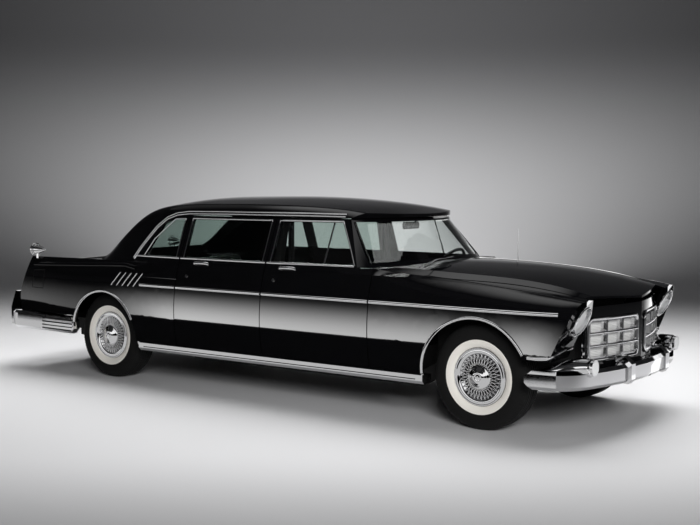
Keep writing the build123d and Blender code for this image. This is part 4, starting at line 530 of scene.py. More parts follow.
def spoke_tree():
    tree, sockets = new_tree("spokes_about_axle", [
        ("Count", "NodeSocketInt", SPOKES), ("Spoke radius", "NodeSocketFloat", SPOKE_R),
        ("Finish", "NodeSocketMaterial", None),
    ])
    inlet = add_node(tree, "NodeGroupInput")
    line = add_node(tree, "GeometryNodeMeshToCurve")
    section = add_node(tree, "GeometryNodeCurvePrimitiveCircle")
    section.inputs["Resolution"].default_value = SPOKE_POINTS
    sweep = add_node(tree, "GeometryNodeCurveToMesh")
    sweep.inputs["Fill Caps"].default_value = True
    ring = add_node(tree, "GeometryNodeMeshLine")
    ring.inputs["Offset"].default_value = (0.0, 0.0, 0.0)
    stand = add_node(tree, "GeometryNodeInstanceOnPoints")
    index = add_node(tree, "GeometryNodeInputIndex")
    step = add_node(tree, "ShaderNodeMath", operation="DIVIDE")
    turn = add_node(tree, "ShaderNodeMath", operation="MULTIPLY")
    turn.inputs[1].default_value = tau
    angle = add_node(tree, "ShaderNodeCombineXYZ")
    spin = add_node(tree, "FunctionNodeEulerToRotation")
    tree.links.new(inlet.outputs["Geometry"], line.inputs["Mesh"])
    tree.links.new(inlet.outputs["Spoke radius"], section.inputs["Radius"])
    tree.links.new(line.outputs["Curve"], sweep.inputs["Curve"])
    tree.links.new(section.outputs["Curve"], sweep.inputs["Profile Curve"])
    tree.links.new(inlet.outputs["Count"], ring.inputs["Count"])
    tree.links.new(ring.outputs["Mesh"], stand.inputs["Points"])
    tree.links.new(sweep.outputs["Mesh"], stand.inputs["Instance"])
    tree.links.new(index.outputs["Index"], step.inputs[0])
    tree.links.new(inlet.outputs["Count"], step.inputs[1])
    tree.links.new(step.outputs["Value"], turn.inputs[0])
    tree.links.new(turn.outputs["Value"], angle.inputs["Y"])
    tree.links.new(angle.outputs["Vector"], spin.inputs["Euler"])
    tree.links.new(spin.outputs["Rotation"], stand.inputs["Rotation"])
    close_tree(tree, stand.outputs["Instances"], inlet, "Finish")
    return tree, sockets


SPOKE_TREE, SPOKE_INPUTS = spoke_tree()
DISH_SECTION = [
    (0.171, 0.0885), (0.150, 0.0775), (0.125, 0.0685), (0.084, 0.0725), (0.074, 0.088), (0.070, 0.066),
    (0.125, 0.060), (0.171, 0.080),
]
HUB_SECTION = [
    (0.092, 0.070), (0.0925, 0.098), (0.090, 0.104), (0.080, 0.109), (0.066, 0.1135), (0.063, 0.1165),
    (0.050, 0.1185), (0.047, 0.1225), (0.036, 0.1240), (0.034, 0.1255), (0.022, 0.1258),
    (0.020, 0.1240), (0.008, 0.1250), (0.0, 0.1250), (0.0, 0.070),
]
RIM_SECTION = [
    (0.2075, 0.084), (0.2085, 0.090), (0.2075, 0.0965), (0.202, 0.0985), (0.196, 0.0965),
    (0.190, 0.0965), (0.186, 0.0985), (0.178, 0.0975), (0.166, 0.0915), (0.160, 0.0840),
    (0.160, 0.0780), (0.200, 0.0780),
]


def slanted_spoke(slant, outward):
    (hub_r, hub_w), (rim_r, rim_w) = SPOKE_HUB, SPOKE_RIM
    start = Vector((hub_r * cos(slant), outward * hub_w, hub_r * sin(slant)))
    end = Vector((rim_r, outward * rim_w, 0.0))
    return start, end


def about_axle(name, lines, count, radius, dress, wheel_place, body):
    """Stands straight lines all round a wheel's axle, as thin round bars."""
    seed = bpy.data.meshes.new(name + "_line")
    edges = [(2 * i, 2 * i + 1) for i in range(len(lines))]
    seed.from_pydata([p for line in lines for p in line], edges, [])
    values = {"Count": count, "Spoke radius": radius, "Finish": dress}
    bars = grown(name, seed, SPOKE_TREE, SPOKE_INPUTS, values, body)
    bars.data.transform(Matrix.Translation(wheel_place))


for end, side_name, side, place in WHEELS:
    body = f"wheel_{end}_{side_name}"
    # The dish is painted near black: painted shade for the hollow of the wheel behind the spokes.
    lathe(f"wheel_dish_{end}_{side_name}", DISH_SECTION, place, side, (SHADE_AND_GAP_BLACK,), body)
    lathe(f"wheel_hub_{end}_{side_name}", HUB_SECTION, place, side, (CHROME,), body)
    lathe(f"wheel_rim_{end}_{side_name}", RIM_SECTION, place, side, (CHROME,), body)
    pair = [slanted_spoke(SPOKE_SLANT, side), slanted_spoke(-SPOKE_SLANT, side)]
    about_axle(f"wheel_spokes_{end}_{side_name}", pair, SPOKES, SPOKE_R, CHROME, place, body)
print("wire wheels:", len(WHEELS), "with", 2 * SPOKES, "spokes each")

# %% [markdown]
# A road tyre has short ribs across its shoulders, which bite in soft ground. They stand round the axle just
# as the spokes do, so the same tree grows them from one short line on each shoulder.

# %% Shoulder ribs
SHOULDER_RIBS = 90
SHOULDER_RIB_R = 0.0034
SHOULDER_LINE = ((0.3765, 0.0735), (0.3585, 0.0965))
for end, side_name, side, place in WHEELS:
    body = f"wheel_{end}_{side_name}"
    shoulders = [[Vector((r, out * w, 0.0)) for r, w in SHOULDER_LINE] for out in (-1.0, 1.0)]
    name = f"tread_ribs_{end}_{side_name}"
    about_axle(name, shoulders, SHOULDER_RIBS, SHOULDER_RIB_R, RUBBER, place, body)
print("shoulder ribs:", 2 * SHOULDER_RIBS, "per tyre")

# %% [markdown]
# Thin chrome frames the side windows. On the front door a slim bar splits off the vent pane. Each frame
# stands on its own door, so it opens with it; the fixed quarter window keeps its frame on the body.

# %% Window frames
FRAME_LOW = 1.120
FRAME_TOP = 1.445
FRAME_STRIP = (0.012, 0.012)
WINDOWS = {
    "front_door": [(0.288, FRAME_LOW), (0.288, FRAME_TOP), (0.874, FRAME_TOP), (1.084, FRAME_LOW)],
    "rear_door": [(-0.656, FRAME_LOW), (-0.656, FRAME_TOP), (0.209, FRAME_TOP), (0.209, FRAME_LOW)],
}
QUARTER_FRAME = [
    (-0.740, FRAME_LOW), (-0.740, 1.440), (-0.860, 1.437), (-0.960, 1.380), (-1.060, 1.265),
    (-1.142, FRAME_LOW),
]
VENT_BAR = [(0.800, 1.124), (0.792, 1.434)]
VENT_STRIP = (0.014, 0.012)
for side_name, side in SIDES.items():
    for door, points in WINDOWS.items():
        body = f"{door}_{side_name}"
        frame_line = skin_line(skin_tree(body), points, side, FINE_STEP)
        moulding(f"frame_{body}", [frame_line], FRAME_STRIP, body)
    bar = skin_line(skin_tree(f"front_door_glass_{side_name}"), VENT_BAR, side)
    moulding(f"vent_bar_{side_name}", [bar], VENT_STRIP, f"front_door_{side_name}")
    quarter = skin_line(skin_tree("roof"), QUARTER_FRAME, side, FINE_STEP)
    moulding(f"frame_quarter_{side_name}", [quarter], FRAME_STRIP, "body")
print("window frames:", 2 * len(WINDOWS) + 2, "and two vent bars")

# %% [markdown]
# A double bright line runs along the gutter above the doors and sweeps down the rear pillar to the belt
# line, which it then follows forward under the quarter window. Both lines come from one path, pushed
# sideways in the side view.

# %% Gutter and pillar sweep
GUTTER = [
    (0.880, 1.481), (0.500, 1.486), (-0.300, 1.487), (-0.720, 1.483), (-0.850, 1.470), (-0.960, 1.435),
    (-1.060, 1.360), (-1.140, 1.265), (-1.215, 1.165), (-1.262, 1.085),
]
GUTTER_STEP = 0.020
GUTTER_STRIP = (0.011, 0.014)
LEDGE_REAR_X = -1.240


def pushed(points, offset):
    """A copy of a side-view path, moved across its own direction."""
    path = []
    for i, point in enumerate(points):
        before = Vector(points[max(0, i - 1)])
        after = Vector(points[min(len(points) - 1, i + 1)])
        along = (after - before).normalized()
        path.append((point[0] + along.y * offset, point[1] - along.x * offset))
    return path


for side_name, side in SIDES.items():
    tree = skin_tree("roof", "quarter_panels")
    lines = [skin_line(tree, pushed(GUTTER, GUTTER_STEP * i), side, FINE_STEP) for i in range(2)]
    moulding(f"gutter_{side_name}", lines, GUTTER_STRIP, "body")
    ledge = skin_line(tree, [(LEDGE_REAR_X, BELT_Z), (door_c - 2 * DOOR_GAP, BELT_Z)], side)
    moulding(f"belt_quarter_{side_name}", [ledge], BELT_STRIP, "body")
print("gutter lines: 2 per side")

# %% [markdown]
# Five slanted bright ribs mark the rear fender, where a louvred vent would be. They are one row: a start, a
# step and a slant, laid on the skin together and grown by the same moulding tree. A painted ridge along the
# fin is a wider one.

# %% Fender ribs and crease
RIBS = 5
RIB_START = -1.469
RIB_STEP = 0.0695
RIB_LEAN = 0.096
RIB_LOW = 0.852
RIB_TOP = 0.966
RIB_STRIP = (0.010, 0.014)
CREASE_STRIP = (0.040, 0.018)
CREASE = [(-2.600, 0.985), (-2.100, 1.004), (-1.600, 1.022), (-1.330, 1.030), (-1.200, 1.010)]
for side_name, side in SIDES.items():
    tree = skin_tree("quarter_panels")
    ribs = []
    for i in range(RIBS):
        foot = RIB_START + RIB_STEP * i
        ribs.append(skin_line(tree, [(foot, RIB_LOW), (foot + RIB_LEAN, RIB_TOP)], side, FINEST_STEP))
    moulding(f"fender_ribs_{side_name}", ribs, RIB_STRIP, "body")
    crease = skin_line(tree, CREASE, side)
    moulding(f"fender_crease_{side_name}", [crease], CREASE_STRIP, "body", BLACK_PAINT)
print("fender ribs:", RIBS, "per side")

# %% [markdown]
# A door handle is a bar that lifts off the skin, runs level and comes back, with a push button at its rear
# end and a lock barrel below. All three are short swept lines: the height above the skin is simply added
# along the outward direction. The fuel door shows only as a fine dark gap on the right rear fender.

# %% Handles, locks and the fuel door
HANDLE_HALF = 0.085
HANDLE_LIFT = 0.020
HANDLES = [
    dict(door="front_door", x=0.480, z=1.074, lock_x=0.361, lock_z=0.982),
    dict(door="rear_door", x=-0.440, z=1.074, lock_x=-0.579, lock_z=0.969),
]
HANDLE_SHAPE = [
    (-1.0, 0.0), (-0.92, 0.6), (-0.75, 1.0), (-0.3, 1.15), (0.3, 1.15), (0.75, 1.0), (0.92, 0.6),
    (1.0, 0.0),
]
HANDLE_STRIP = (0.024, 0.014)
STUD_ROOT = 0.002
BUTTON_SHARE = 0.75
BUTTON_H = 0.016
LOCK_H = 0.007
LOCK_STRIP = (0.026, 0.026)
FUEL_DOOR = [(-2.590, 0.770), (-2.590, 0.930), (-2.420, 0.938), (-2.420, 0.770), (-2.590, 0.770)]
FUEL_DOOR_STRIP = (0.006, 0.003)


def stud(tree, x, z, side, height):
    """A short round stud that stands straight off the skin."""
    place, out = on_side(tree, x, z, side)
    level = Vector((1.0, 0.0, 0.0))
    return [(place - out * STUD_ROOT, level), (place + out * height, level)]


for side_name, side in SIDES.items():
    for row in HANDLES:
        tree = skin_tree(f"{row['door']}_{side_name}")
        body = f"{row['door']}_{side_name}"
        bar = []
        for share, lift in HANDLE_SHAPE:
            place, out = on_side(tree, row["x"] + share * HANDLE_HALF, row["z"], side)
            bar.append((place + out * lift * HANDLE_LIFT, out))
        moulding(f"handle_{body}", [bar], HANDLE_STRIP, body)
        button = stud(tree, row["x"] - HANDLE_HALF * BUTTON_SHARE, row["z"], side, BUTTON_H)
        lock = stud(tree, row["lock_x"], row["lock_z"], side, LOCK_H)
        moulding(f"lock_{body}", [button, lock], LOCK_STRIP, body)
fuel_gap = skin_line(skin_tree("quarter_panels"), FUEL_DOOR, SIDES["right"], FINEST_STEP)
moulding("fuel_door_gap", [fuel_gap], FUEL_DOOR_STRIP, "body", SHADE_AND_GAP_BLACK)
print("handles:", 2 * len(HANDLES))

# %% [markdown]
# Some small things are easiest to place where the photo shows them. A sight line from the camera through a
# picture point, followed until it meets the skin, gives the place in metres; the left-hand copy is the
# mirror image.

# %% Sight lines
PICTURE = (700.0, 525.0)
PIXELS_PER_UNIT = LENS / SENSOR * PICTURE[0]
PIXEL_STEP = 3.0


def sight(u, v):
    turn = camera.rotation_euler.to_matrix()
    ray = Vector(((u - PICTURE[0] / 2) / PIXELS_PER_UNIT, (PICTURE[1] / 2 - v) / PIXELS_PER_UNIT, -1.0))
    return Vector(CAMERA_PLACE), (turn @ ray).normalized()


def seen_line(tree, pixels, lift=0.0):
    line = []
    for p in stepped([Vector((u, v, 0.0)) for u, v in pixels], PIXEL_STEP):
        start, ray = sight(p.x, p.y)
        place, out, face, far = tree.ray_cast(start, ray)
        if place is not None:
            out = out if out.dot(ray) < 0 else -out
            line.append((place + out * lift, out))
    return line


def mirrored(line):
    flip = Vector((1.0, -1.0, 1.0))
    return [(p * flip, n * flip) for p, n in line]


# %% [markdown]
# The lower edge of the front fender carries a bright bead that climbs round the corner toward the grille,
# like a small wing over the bumper. Both wipers lie at the foot of the screen.

# %% Front wings and wipers
WING = [(527, 358), (536, 359), (546, 359), (553, 357), (562, 352), (572, 348), (581, 346)]
WING_STRIP = (0.026, 0.018)
WIPERS = [[(424, 267), (436, 261), (452, 257)], [(478, 252), (496, 254)]]
WIPER_LIFT = 0.010
WIPER_STRIP = (0.010, 0.010)
wing = seen_line(skin_tree("front_fenders", "nose_panel"), WING)
moulding("front_wing_right", [wing], WING_STRIP, "body")
moulding("front_wing_left", [mirrored(wing)], WING_STRIP, "body")
screen_skin = skin_tree("windscreen", "screen_frame", "cowl", "hood")
moulding("wipers", [seen_line(screen_skin, w, WIPER_LIFT) for w in WIPERS], WIPER_STRIP, "body")
print("wings: 2, wipers:", len(WIPERS))

# %% [markdown]
# Behind each bright egg-crate stands a silver screen with fine level ridges, which is why the openings look
# pale and not black. The screen follows the curve of the grille: rays from the front find the bars, and the
# sheet hangs a little behind them.

# %% Grille screens
SCREEN_BACK = 0.042
SCREEN_RIDGE = 0.004
SCREEN_RIDGES = 26
SCREEN_LOW, SCREEN_TOP = 0.534, 0.806
SCREEN_IN, SCREEN_OUT = 0.075, 0.600
SCREEN_COLUMNS = 12
SCREEN_T = 0.002
SCAN = [z / 1000.0 for z in range(525, 815, 6)]
SILVER = finish("silver_screen", (0.86, 0.86, 0.85), 0.30, metallic=0.1, grain=200.0, uneven=0.06)


def grille_front(tree, y):
    """How far forward the grille reaches at one place across the car."""
    reach = [tree.ray_cast(Vector((FAR_END, y, z)), Vector((-1.0, 0.0, 0.0)))[0] for z in SCAN]
    return max(p.x for p in reach if p is not None)


grille_tree = skin_tree("grille")
rows = 2 * SCREEN_RIDGES + 1
for side_name, side in SIDES.items():
    points = []
    faces = []
    for i in range(SCREEN_COLUMNS + 1):
        y = side * (SCREEN_IN + (SCREEN_OUT - SCREEN_IN) * i / SCREEN_COLUMNS)
        x = grille_front(grille_tree, y) - SCREEN_BACK
        for j in range(rows):
            z = SCREEN_LOW + (SCREEN_TOP - SCREEN_LOW) * j / (rows - 1)
            points.append((x + SCREEN_RIDGE * (j % 2), y, z))
    for i in range(SCREEN_COLUMNS):
        for j in range(rows - 1):
            a = i * rows + j
            face = (a, a + 1, a + rows + 1, a + rows)
            faces.append(face if side < 0 else face[::-1])
    mesh = bpy.data.meshes.new(f"grille_screen_{side_name}")
    mesh.from_pydata(points, [], faces)
    mesh.materials.append(SILVER)
    screen = settle(f"grille_screen_{side_name}", mesh, "body")
    screen.modifiers.new("sheet", "SOLIDIFY").thickness = SCREEN_T
print("grille screens: 2 of", SCREEN_RIDGES, "ridges")

# %% [markdown]
# Loose ends of the cabin: a mirror under the roof, a half horn ring on the steering wheel and a short whip
# aerial on the left fender. Each is one swept line.

# %% Mirror, horn ring and aerial
MIRROR = Vector((1.020, 0.0, 1.398))
MIRROR_HALF = 0.110
MIRROR_STEPS = 4
MIRROR_STRIP = (0.058, 0.022)
STEM_RISE = Vector((0.06, 0.0, 0.045))
STEM_STRIP = (0.010, 0.010)
HORN_HUB = Vector((1.1235, 0.400, 1.010))
HORN_AXIS = Vector((-0.7974, 0.0, 0.6034))
HORN_R = 0.140
HORN_LIFT = 0.020
HORN_STEPS = 32
HORN_STRIP = (0.010, 0.008)
AERIAL = (1.635, 0.700)
AERIAL_H = 0.300
AERIAL_STRIP = (0.005, 0.005)
AERIAL_FOOT_H = 0.022
AERIAL_FOOT_STRIP = (0.026, 0.026)
ahead = Vector((1.0, 0.0, 0.0))
across = Vector((0.0, 1.0, 0.0))
upward = Vector((0.0, 0.0, 1.0))
glass_line = [
    (MIRROR + across * (MIRROR_HALF * t / MIRROR_STEPS), ahead) for t in range(-MIRROR_STEPS, MIRROR_STEPS + 1)
]
moulding("cabin_mirror", [glass_line], MIRROR_STRIP, "body", STEEL)
moulding("mirror_stem", [[(MIRROR, across), (MIRROR + STEM_RISE, across)]], STEM_STRIP, "body")
down = HORN_AXIS.cross(across).normalized()
ring = []
for i in range(HORN_STEPS + 1):
    angle = pi * i / HORN_STEPS
    away = across * cos(angle) + down * sin(angle)
    ring.append((HORN_HUB + HORN_AXIS * HORN_LIFT + away * HORN_R, HORN_AXIS))
moulding("horn_ring", [ring], HORN_STRIP, "steering_wheel")
foot = skin_tree("front_fenders", "cowl", "hood").ray_cast(Vector((*AERIAL, FAR_OUT)), -upward)[0]
whip = [(foot + upward * (share * AERIAL_H), ahead) for share in (0.0, 0.5, 1.0)]
moulding("aerial", [whip], AERIAL_STRIP, "body")
ferrule = [(foot, ahead), (foot + upward * AERIAL_FOOT_H, ahead)]
moulding("aerial_foot", [ferrule], AERIAL_FOOT_STRIP, "body")
print("mirror, horn ring and aerial placed")

# %% [markdown]
# The seats are sewn benches: a cushion and a back, each stuffed so that it swells between its seams. A
# cushion is a rounded outline drawn across the car at many stations; the outline sinks a little at every
# seam and more at the two ends, which is how leather pulls in where it is stitched.

# %% Seats
SEAM_DEPTH = 0.011
END_DEPTH = 0.030
END_REACH = 0.05
SWELL_POWER = 0.6
SEAT_CORNER = 0.05
CORNER_SHARE = 0.45
CHANNELS = 8
STATIONS = 8
SEAT_ENDS = 0.004
SEAT_SIDES = 0.002
CUSHION_DIPS = ((0.25, 0.006), (0.46, 0.034))
CUSHION_LONG = 0.49
BACK_FOOT, BACK_TUCK = 0.155, 0.060
BACK_WAIST = 0.140
BACK_HEAD = 0.078
BACK_DROP = 0.010
BACK_BASE = 0.150


def rounded(points, radius, steps=5):
    """A closed outline with its corners rounded."""
    path = []
    count = len(points)
    for i in range(count):
        here = Vector(points[i])
        before = Vector(points[i - 1]) - here
        after = Vector(points[(i + 1) % count]) - here
        reach = min(radius, before.length * CORNER_SHARE, after.length * CORNER_SHARE)
        start = here + before.normalized() * reach
        end = here + after.normalized() * reach
        for s in range(steps + 1):
            t = s / steps
            path.append(start * (1 - t) ** 2 + here * 2 * t * (1 - t) + end * t ** 2)
    return path


def densified(path, step=FINE_STEP):
    dense = []
    for a, b in zip(path, path[1:] + path[:1]):
        count = max(1, round((b - a).length / step))
        dense += [a + (b - a) * (i / count) for i in range(count)]
    return dense


def stuffed(outline, half_w, points, faces):
    """Adds a closed, channelled cushion to the lists: an (x, z) outline, drawn from -half_w to half_w."""
    path = densified(rounded(outline, SEAT_CORNER))
    count = len(path)
    inward = []
    for i in range(count):
        along = (path[(i + 1) % count] - path[i - 1]).normalized()
        inward.append(Vector((-along.y, along.x)))
    area = sum(path[i].cross(path[(i + 1) % count]) for i in range(count))
    sign = 1.0 if area > 0 else -1.0
    total = CHANNELS * STATIONS
    first = len(points)
    for k in range(total + 1):
        y = half_w * (2.0 * k / total - 1.0)
        swell = abs(sin(pi * k / STATIONS)) ** SWELL_POWER
        edge = max(0.0, 1.0 - (half_w - abs(y)) / END_REACH)
        depth = SEAM_DEPTH * (1.0 - swell) + END_DEPTH * edge ** 2
        points += [(p.x + n.x * depth * sign, y, p.y + n.y * depth * sign) for p, n in zip(path, inward)]
    for k in range(total):
        for i in range(count):
            j = (i + 1) % count
            a = first + k * count
            faces.append((a + i, a + j, a + count + j, a + count + i))
    faces.append(tuple(first + i for i in range(count)))
    faces.append(tuple(first + total * count + i for i in reversed(range(count))))


BENCHES = [
    dict(name="front", low=0.470, top=0.668, back_top=1.008),
    dict(name="rear", low=0.602, top=0.702, back_top=1.048),
]
for bench in BENCHES:
    low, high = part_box(f"{bench['name']}_seat")
    half_w = high.y - SEAT_SIDES
    front = high.x - SEAT_ENDS
    rear = low.x + SEAT_ENDS
    base, top, back_top = bench["low"], bench["top"], bench["back_top"]
    points = []
    faces = []
    cushion = [(front, base), (front, top)]
    cushion += [(front - along, top - dip) for along, dip in CUSHION_DIPS]
    cushion.append((front - CUSHION_LONG, base))
    stuffed(cushion, half_w, points, faces)
    back = [
        (rear + BACK_FOOT, top - BACK_TUCK), (rear + BACK_WAIST, 0.5 * (top + back_top)),
        (rear + BACK_HEAD, back_top), (rear, back_top - BACK_DROP), (rear, base), (rear + BACK_BASE, base),
    ]
    stuffed(back, half_w, points, faces)
    name = f"bench_{bench['name']}"
    seat = settle(name, closed_mesh(name, points, faces, (LEATHER,)), "body")
    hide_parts(f"{bench['name']}_seat")
print("benches:", len(BENCHES), "with", CHANNELS, "channels each")

# %% [markdown]
# Ribbed flanks on the rear bumper and a stepped sill are bright metal with grooves. Each groove is drawn as
# painted shade: a very flat near-black strip on the chrome, standing in for the shadow in the recess.

# %% Dark grooves
GROOVES = [
    dict(node="rear_bumper", ends=(-2.440, -2.010), heights=(0.402, 0.432, 0.462, 0.492), width=0.012),
    dict(node="sills", ends=(-1.090, 1.700), heights=(0.336,), width=0.007),
]
GROOVE_RISE = 0.003
for side_name, side in SIDES.items():
    for groove in GROOVES:
        tree = skin_tree(groove["node"])
        lines = [skin_line(tree, [(x, z) for x in groove["ends"]], side) for z in groove["heights"]]
        lines = [line for line in lines if len(line) > 1]
        strip = (groove["width"], GROOVE_RISE)
        # Painted shade: a near-black strip where the groove's recess lies in shadow.
        moulding(f"grooves_{groove['node']}_{side_name}", lines, strip, "body", SHADE_AND_GAP_BLACK)
print("grooves:", sum(len(g["heights"]) for g in GROOVES), "per side")

# %% [markdown]
# Behind, a bright frame runs round the rear window and the boot lid has a pull handle over its lock. Both
# are found by rays from straight behind the car, in the same way as the side trim.

# %% Rear window frame and boot handle
REAR_FRAME_HALF = 0.568
REAR_FRAME_LOW, REAR_FRAME_TOP = 1.122, 1.448
REAR_FRAME_CORNER = 0.070
REAR_FRAME_STRIP = (0.018, 0.014)
BOOT_HANDLE_Z = 0.722
BOOT_HANDLE_HALF = 0.115
BOOT_HANDLE_STRIP = (0.026, 0.016)
BOOT_LOCK_Z = 0.775
BOOT_LOCK_REACH = (-0.002, 0.008)
BOOT_LOCK_STRIP = (0.030, 0.030)


def from_end(tree, end, y, z, lift=0.0):
    """The skin's point and outward direction seen from ahead (end 1) or from behind the car (end -1)."""
    place, out, face, far = tree.ray_cast(Vector((end * FAR_END, y, z)), Vector((-end, 0.0, 0.0)))
    if place is None:
        return None
    out = out if out.x * end > 0 else -out
    return place + out * lift, out


def round_frame(inner, outer, low, top, corner, steps=6):
    """A closed rectangle of (y, z) points with round corners."""
    centres = [
        (outer - corner, top - corner), (inner + corner, top - corner),
        (inner + corner, low + corner), (outer - corner, low + corner),
    ]
    path = []
    for quarter, (y, z) in enumerate(centres):
        for s in range(steps + 1):
            angle = 0.5 * pi * (quarter + s / steps)
            path.append(Vector((y + corner * cos(angle), z + corner * sin(angle), 0.0)))
    return path + path[:1]


outline = round_frame(-REAR_FRAME_HALF, REAR_FRAME_HALF, REAR_FRAME_LOW, REAR_FRAME_TOP, REAR_FRAME_CORNER)
outline = stepped(outline, FINE_STEP)
roof_tree = skin_tree("roof")
frame_hits = [from_end(roof_tree, -1, p.x, p.y) for p in outline]
moulding("frame_rear_window", [[h for h in frame_hits if h]], REAR_FRAME_STRIP, "body")
lid_tree = skin_tree("boot_lid")
pull = [
    from_end(lid_tree, -1, share * BOOT_HANDLE_HALF, BOOT_HANDLE_Z, lift * HANDLE_LIFT)
    for share, lift in HANDLE_SHAPE
]
moulding("boot_handle", [pull], BOOT_HANDLE_STRIP, "boot_lid")
barrel = [from_end(lid_tree, -1, 0.0, BOOT_LOCK_Z, height) for height in BOOT_LOCK_REACH]
moulding("boot_lock", [[(p, across) for p, n in barrel]], BOOT_LOCK_STRIP, "boot_lid")
print("rear window frame:", len(outline), "points")

# %% [markdown]
# The front end glitters because every bar of the egg-crate is rounded. The solid grille has flat faces, so
# a bright bead is laid along the middle of each bar and round the outer edge of each grille half, and a ring
# round each headlamp glass. All are lines seen from straight ahead.

# %% Grille beads and lamp rings
GRILLE_LEFT, GRILLE_RIGHT = 0.066, 0.612
GRILLE_LOW, GRILLE_TOP = 0.526, 0.811
GRILLE_CORNER = 0.040
BAR_HEIGHTS = (0.625, 0.712)
BAR_PLACES = (0.252, 0.426)
LAMP_PLACE = (0.752, 0.815)
LAMP_RING_R = 0.094
SURROUND_STRIP = (0.026, 0.020)
BAR_STRIP = (0.019, 0.020)
POST_STRIP = (0.012, 0.012)
LAMP_RING_STRIP = (0.014, 0.014)


def end_line(tree, end, points, step=FINEST_STEP):
    """A line on the skin through (y, z) points, seen from one end of the car."""
    hits = [from_end(tree, end, p.x, p.y) for p in stepped([Vector((y, z, 0.0)) for y, z in points], step)]
    return [h for h in hits if h]


def lamp_circle(side, count=40):
    y, z = LAMP_PLACE
    turns = [tau * i / count for i in range(count + 1)]
    return [(side * y + LAMP_RING_R * cos(t), z + LAMP_RING_R * sin(t)) for t in turns]


lamp_tree = skin_tree("lamp_bezels", "lamp_lenses")
for side_name, side in SIDES.items():
    across_y = (side * GRILLE_LEFT, side * GRILLE_RIGHT)
    inner, outer = sorted(across_y)
    surround = [(p.x, p.y) for p in round_frame(inner, outer, GRILLE_LOW, GRILLE_TOP, GRILLE_CORNER)]
    moulding(f"grille_surround_{side_name}", [end_line(grille_tree, 1, surround)], SURROUND_STRIP, "body")
    level = [end_line(grille_tree, 1, [(y, z) for y in across_y]) for z in BAR_HEIGHTS]
    moulding(f"grille_bars_{side_name}", level, BAR_STRIP, "body")
    heights = (GRILLE_LOW, GRILLE_TOP)
    upright = [end_line(grille_tree, 1, [(side * y, z) for z in heights]) for y in BAR_PLACES]
    moulding(f"grille_posts_{side_name}", upright, POST_STRIP, "body")
    moulding(f"lamp_ring_{side_name}", [end_line(lamp_tree, 1, lamp_circle(side))], LAMP_RING_STRIP, "body")
print("grille beads:", len(BAR_HEIGHTS) + len(BAR_PLACES) + 1, "per side")

# %% [markdown]
# Each tail lamp stands free on its fin inside a slim bright ring, carried by three short struts. Both are
# thin round bars, so both are swept lines.

# %% Tail lamp rings
TAIL_LAMP = (-2.6035, 0.899, 1.120)
TAIL_RING_R = 0.057
TAIL_RING_STRIP = (0.011, 0.011)
TAIL_RING_TURN = 10
STRUT_FROM = 0.036
STRUT_ANGLES = (90, 210, 330)
STRUT_STRIP = (0.008, 0.008)


def round_lamp(side, degrees, reach):
    """A point at some reach from a tail lamp's axis, with the direction outward from it."""
    away = Vector((0.0, cos(radians(degrees)), sin(radians(degrees))))
    middle = Vector((TAIL_LAMP[0], side * TAIL_LAMP[1], TAIL_LAMP[2]))
    return middle + away * reach, away


for side_name, side in SIDES.items():
    hoop = [round_lamp(side, turn, TAIL_RING_R) for turn in range(0, 361, TAIL_RING_TURN)]
    reaches = (STRUT_FROM, TAIL_RING_R)
    struts = [[(round_lamp(side, a, reach)[0], -ahead) for reach in reaches] for a in STRUT_ANGLES]
    moulding(f"tail_ring_{side_name}", [hoop], TAIL_RING_STRIP, "body")
    moulding(f"tail_ring_struts_{side_name}", struts, STRUT_STRIP, "body")
print("tail lamp rings: one per side on", len(STRUT_ANGLES), "struts")

# %% [markdown]
# Each parking lamp sits in the nose of a bright teardrop that sweeps outward and down into the end of the
# bumper. The solid has a plain turned pod there, so a skin is drawn over it: oval rings of changing size
# strung along a bent line.

# %% Bumper teardrops
TEARDROP = [
    dict(x=2.978, y=0.752, z=0.508, wide=0.0585, high=0.0585),
    dict(x=2.955, y=0.753, z=0.507, wide=0.066, high=0.065),
    dict(x=2.900, y=0.762, z=0.503, wide=0.076, high=0.072),
    dict(x=2.830, y=0.790, z=0.494, wide=0.086, high=0.070),
    dict(x=2.760, y=0.832, z=0.480, wide=0.084, high=0.060),
    dict(x=2.690, y=0.876, z=0.466, wide=0.072, high=0.048),
    dict(x=2.635, y=0.910, z=0.456, wide=0.052, high=0.034),
    dict(x=2.606, y=0.926, z=0.450, wide=0.024, high=0.016),
]
OVAL = 32
SMOOTH_LEVELS = 2


def strung_ovals(name, stations, side, body):
    """A closed skin over oval rings, one ring at each station."""
    points = []
    for s in stations:
        for i in range(OVAL):
            angle = tau * i / OVAL
            out = s["y"] + s["wide"] * cos(angle)
            points.append((s["x"], side * out, s["z"] + s["high"] * sin(angle)))
    faces = []
    for k in range(len(stations) - 1):
        for i in range(OVAL):
            j = (i + 1) % OVAL
            faces.append((k * OVAL + i, k * OVAL + j, (k + 1) * OVAL + j, (k + 1) * OVAL + i))
    last = (len(stations) - 1) * OVAL
    faces.append(tuple(range(OVAL)))
    faces.append(tuple(last + i for i in reversed(range(OVAL))))
    mesh = closed_mesh(name, points, faces, (CHROME,))
    mesh.polygons.foreach_set("use_smooth", [len(p.vertices) == 4 for p in mesh.polygons])
    smooth = settle(name, mesh, body).modifiers.new("smooth", "SUBSURF")
    smooth.levels = SMOOTH_LEVELS
    smooth.render_levels = SMOOTH_LEVELS


for side_name, side in SIDES.items():
    strung_ovals(f"bumper_teardrop_{side_name}", TEARDROP, side, "body")
print("teardrops: 2 of", len(TEARDROP), "rings")

# %% [markdown]
# With a door open its inner side shows: a leather card with upright pleats, an arm rest to pull it shut by,
# and a bright lever. The card is a thin closed sheet whose face swells between the pleats; the arm rest is
# a swept line.

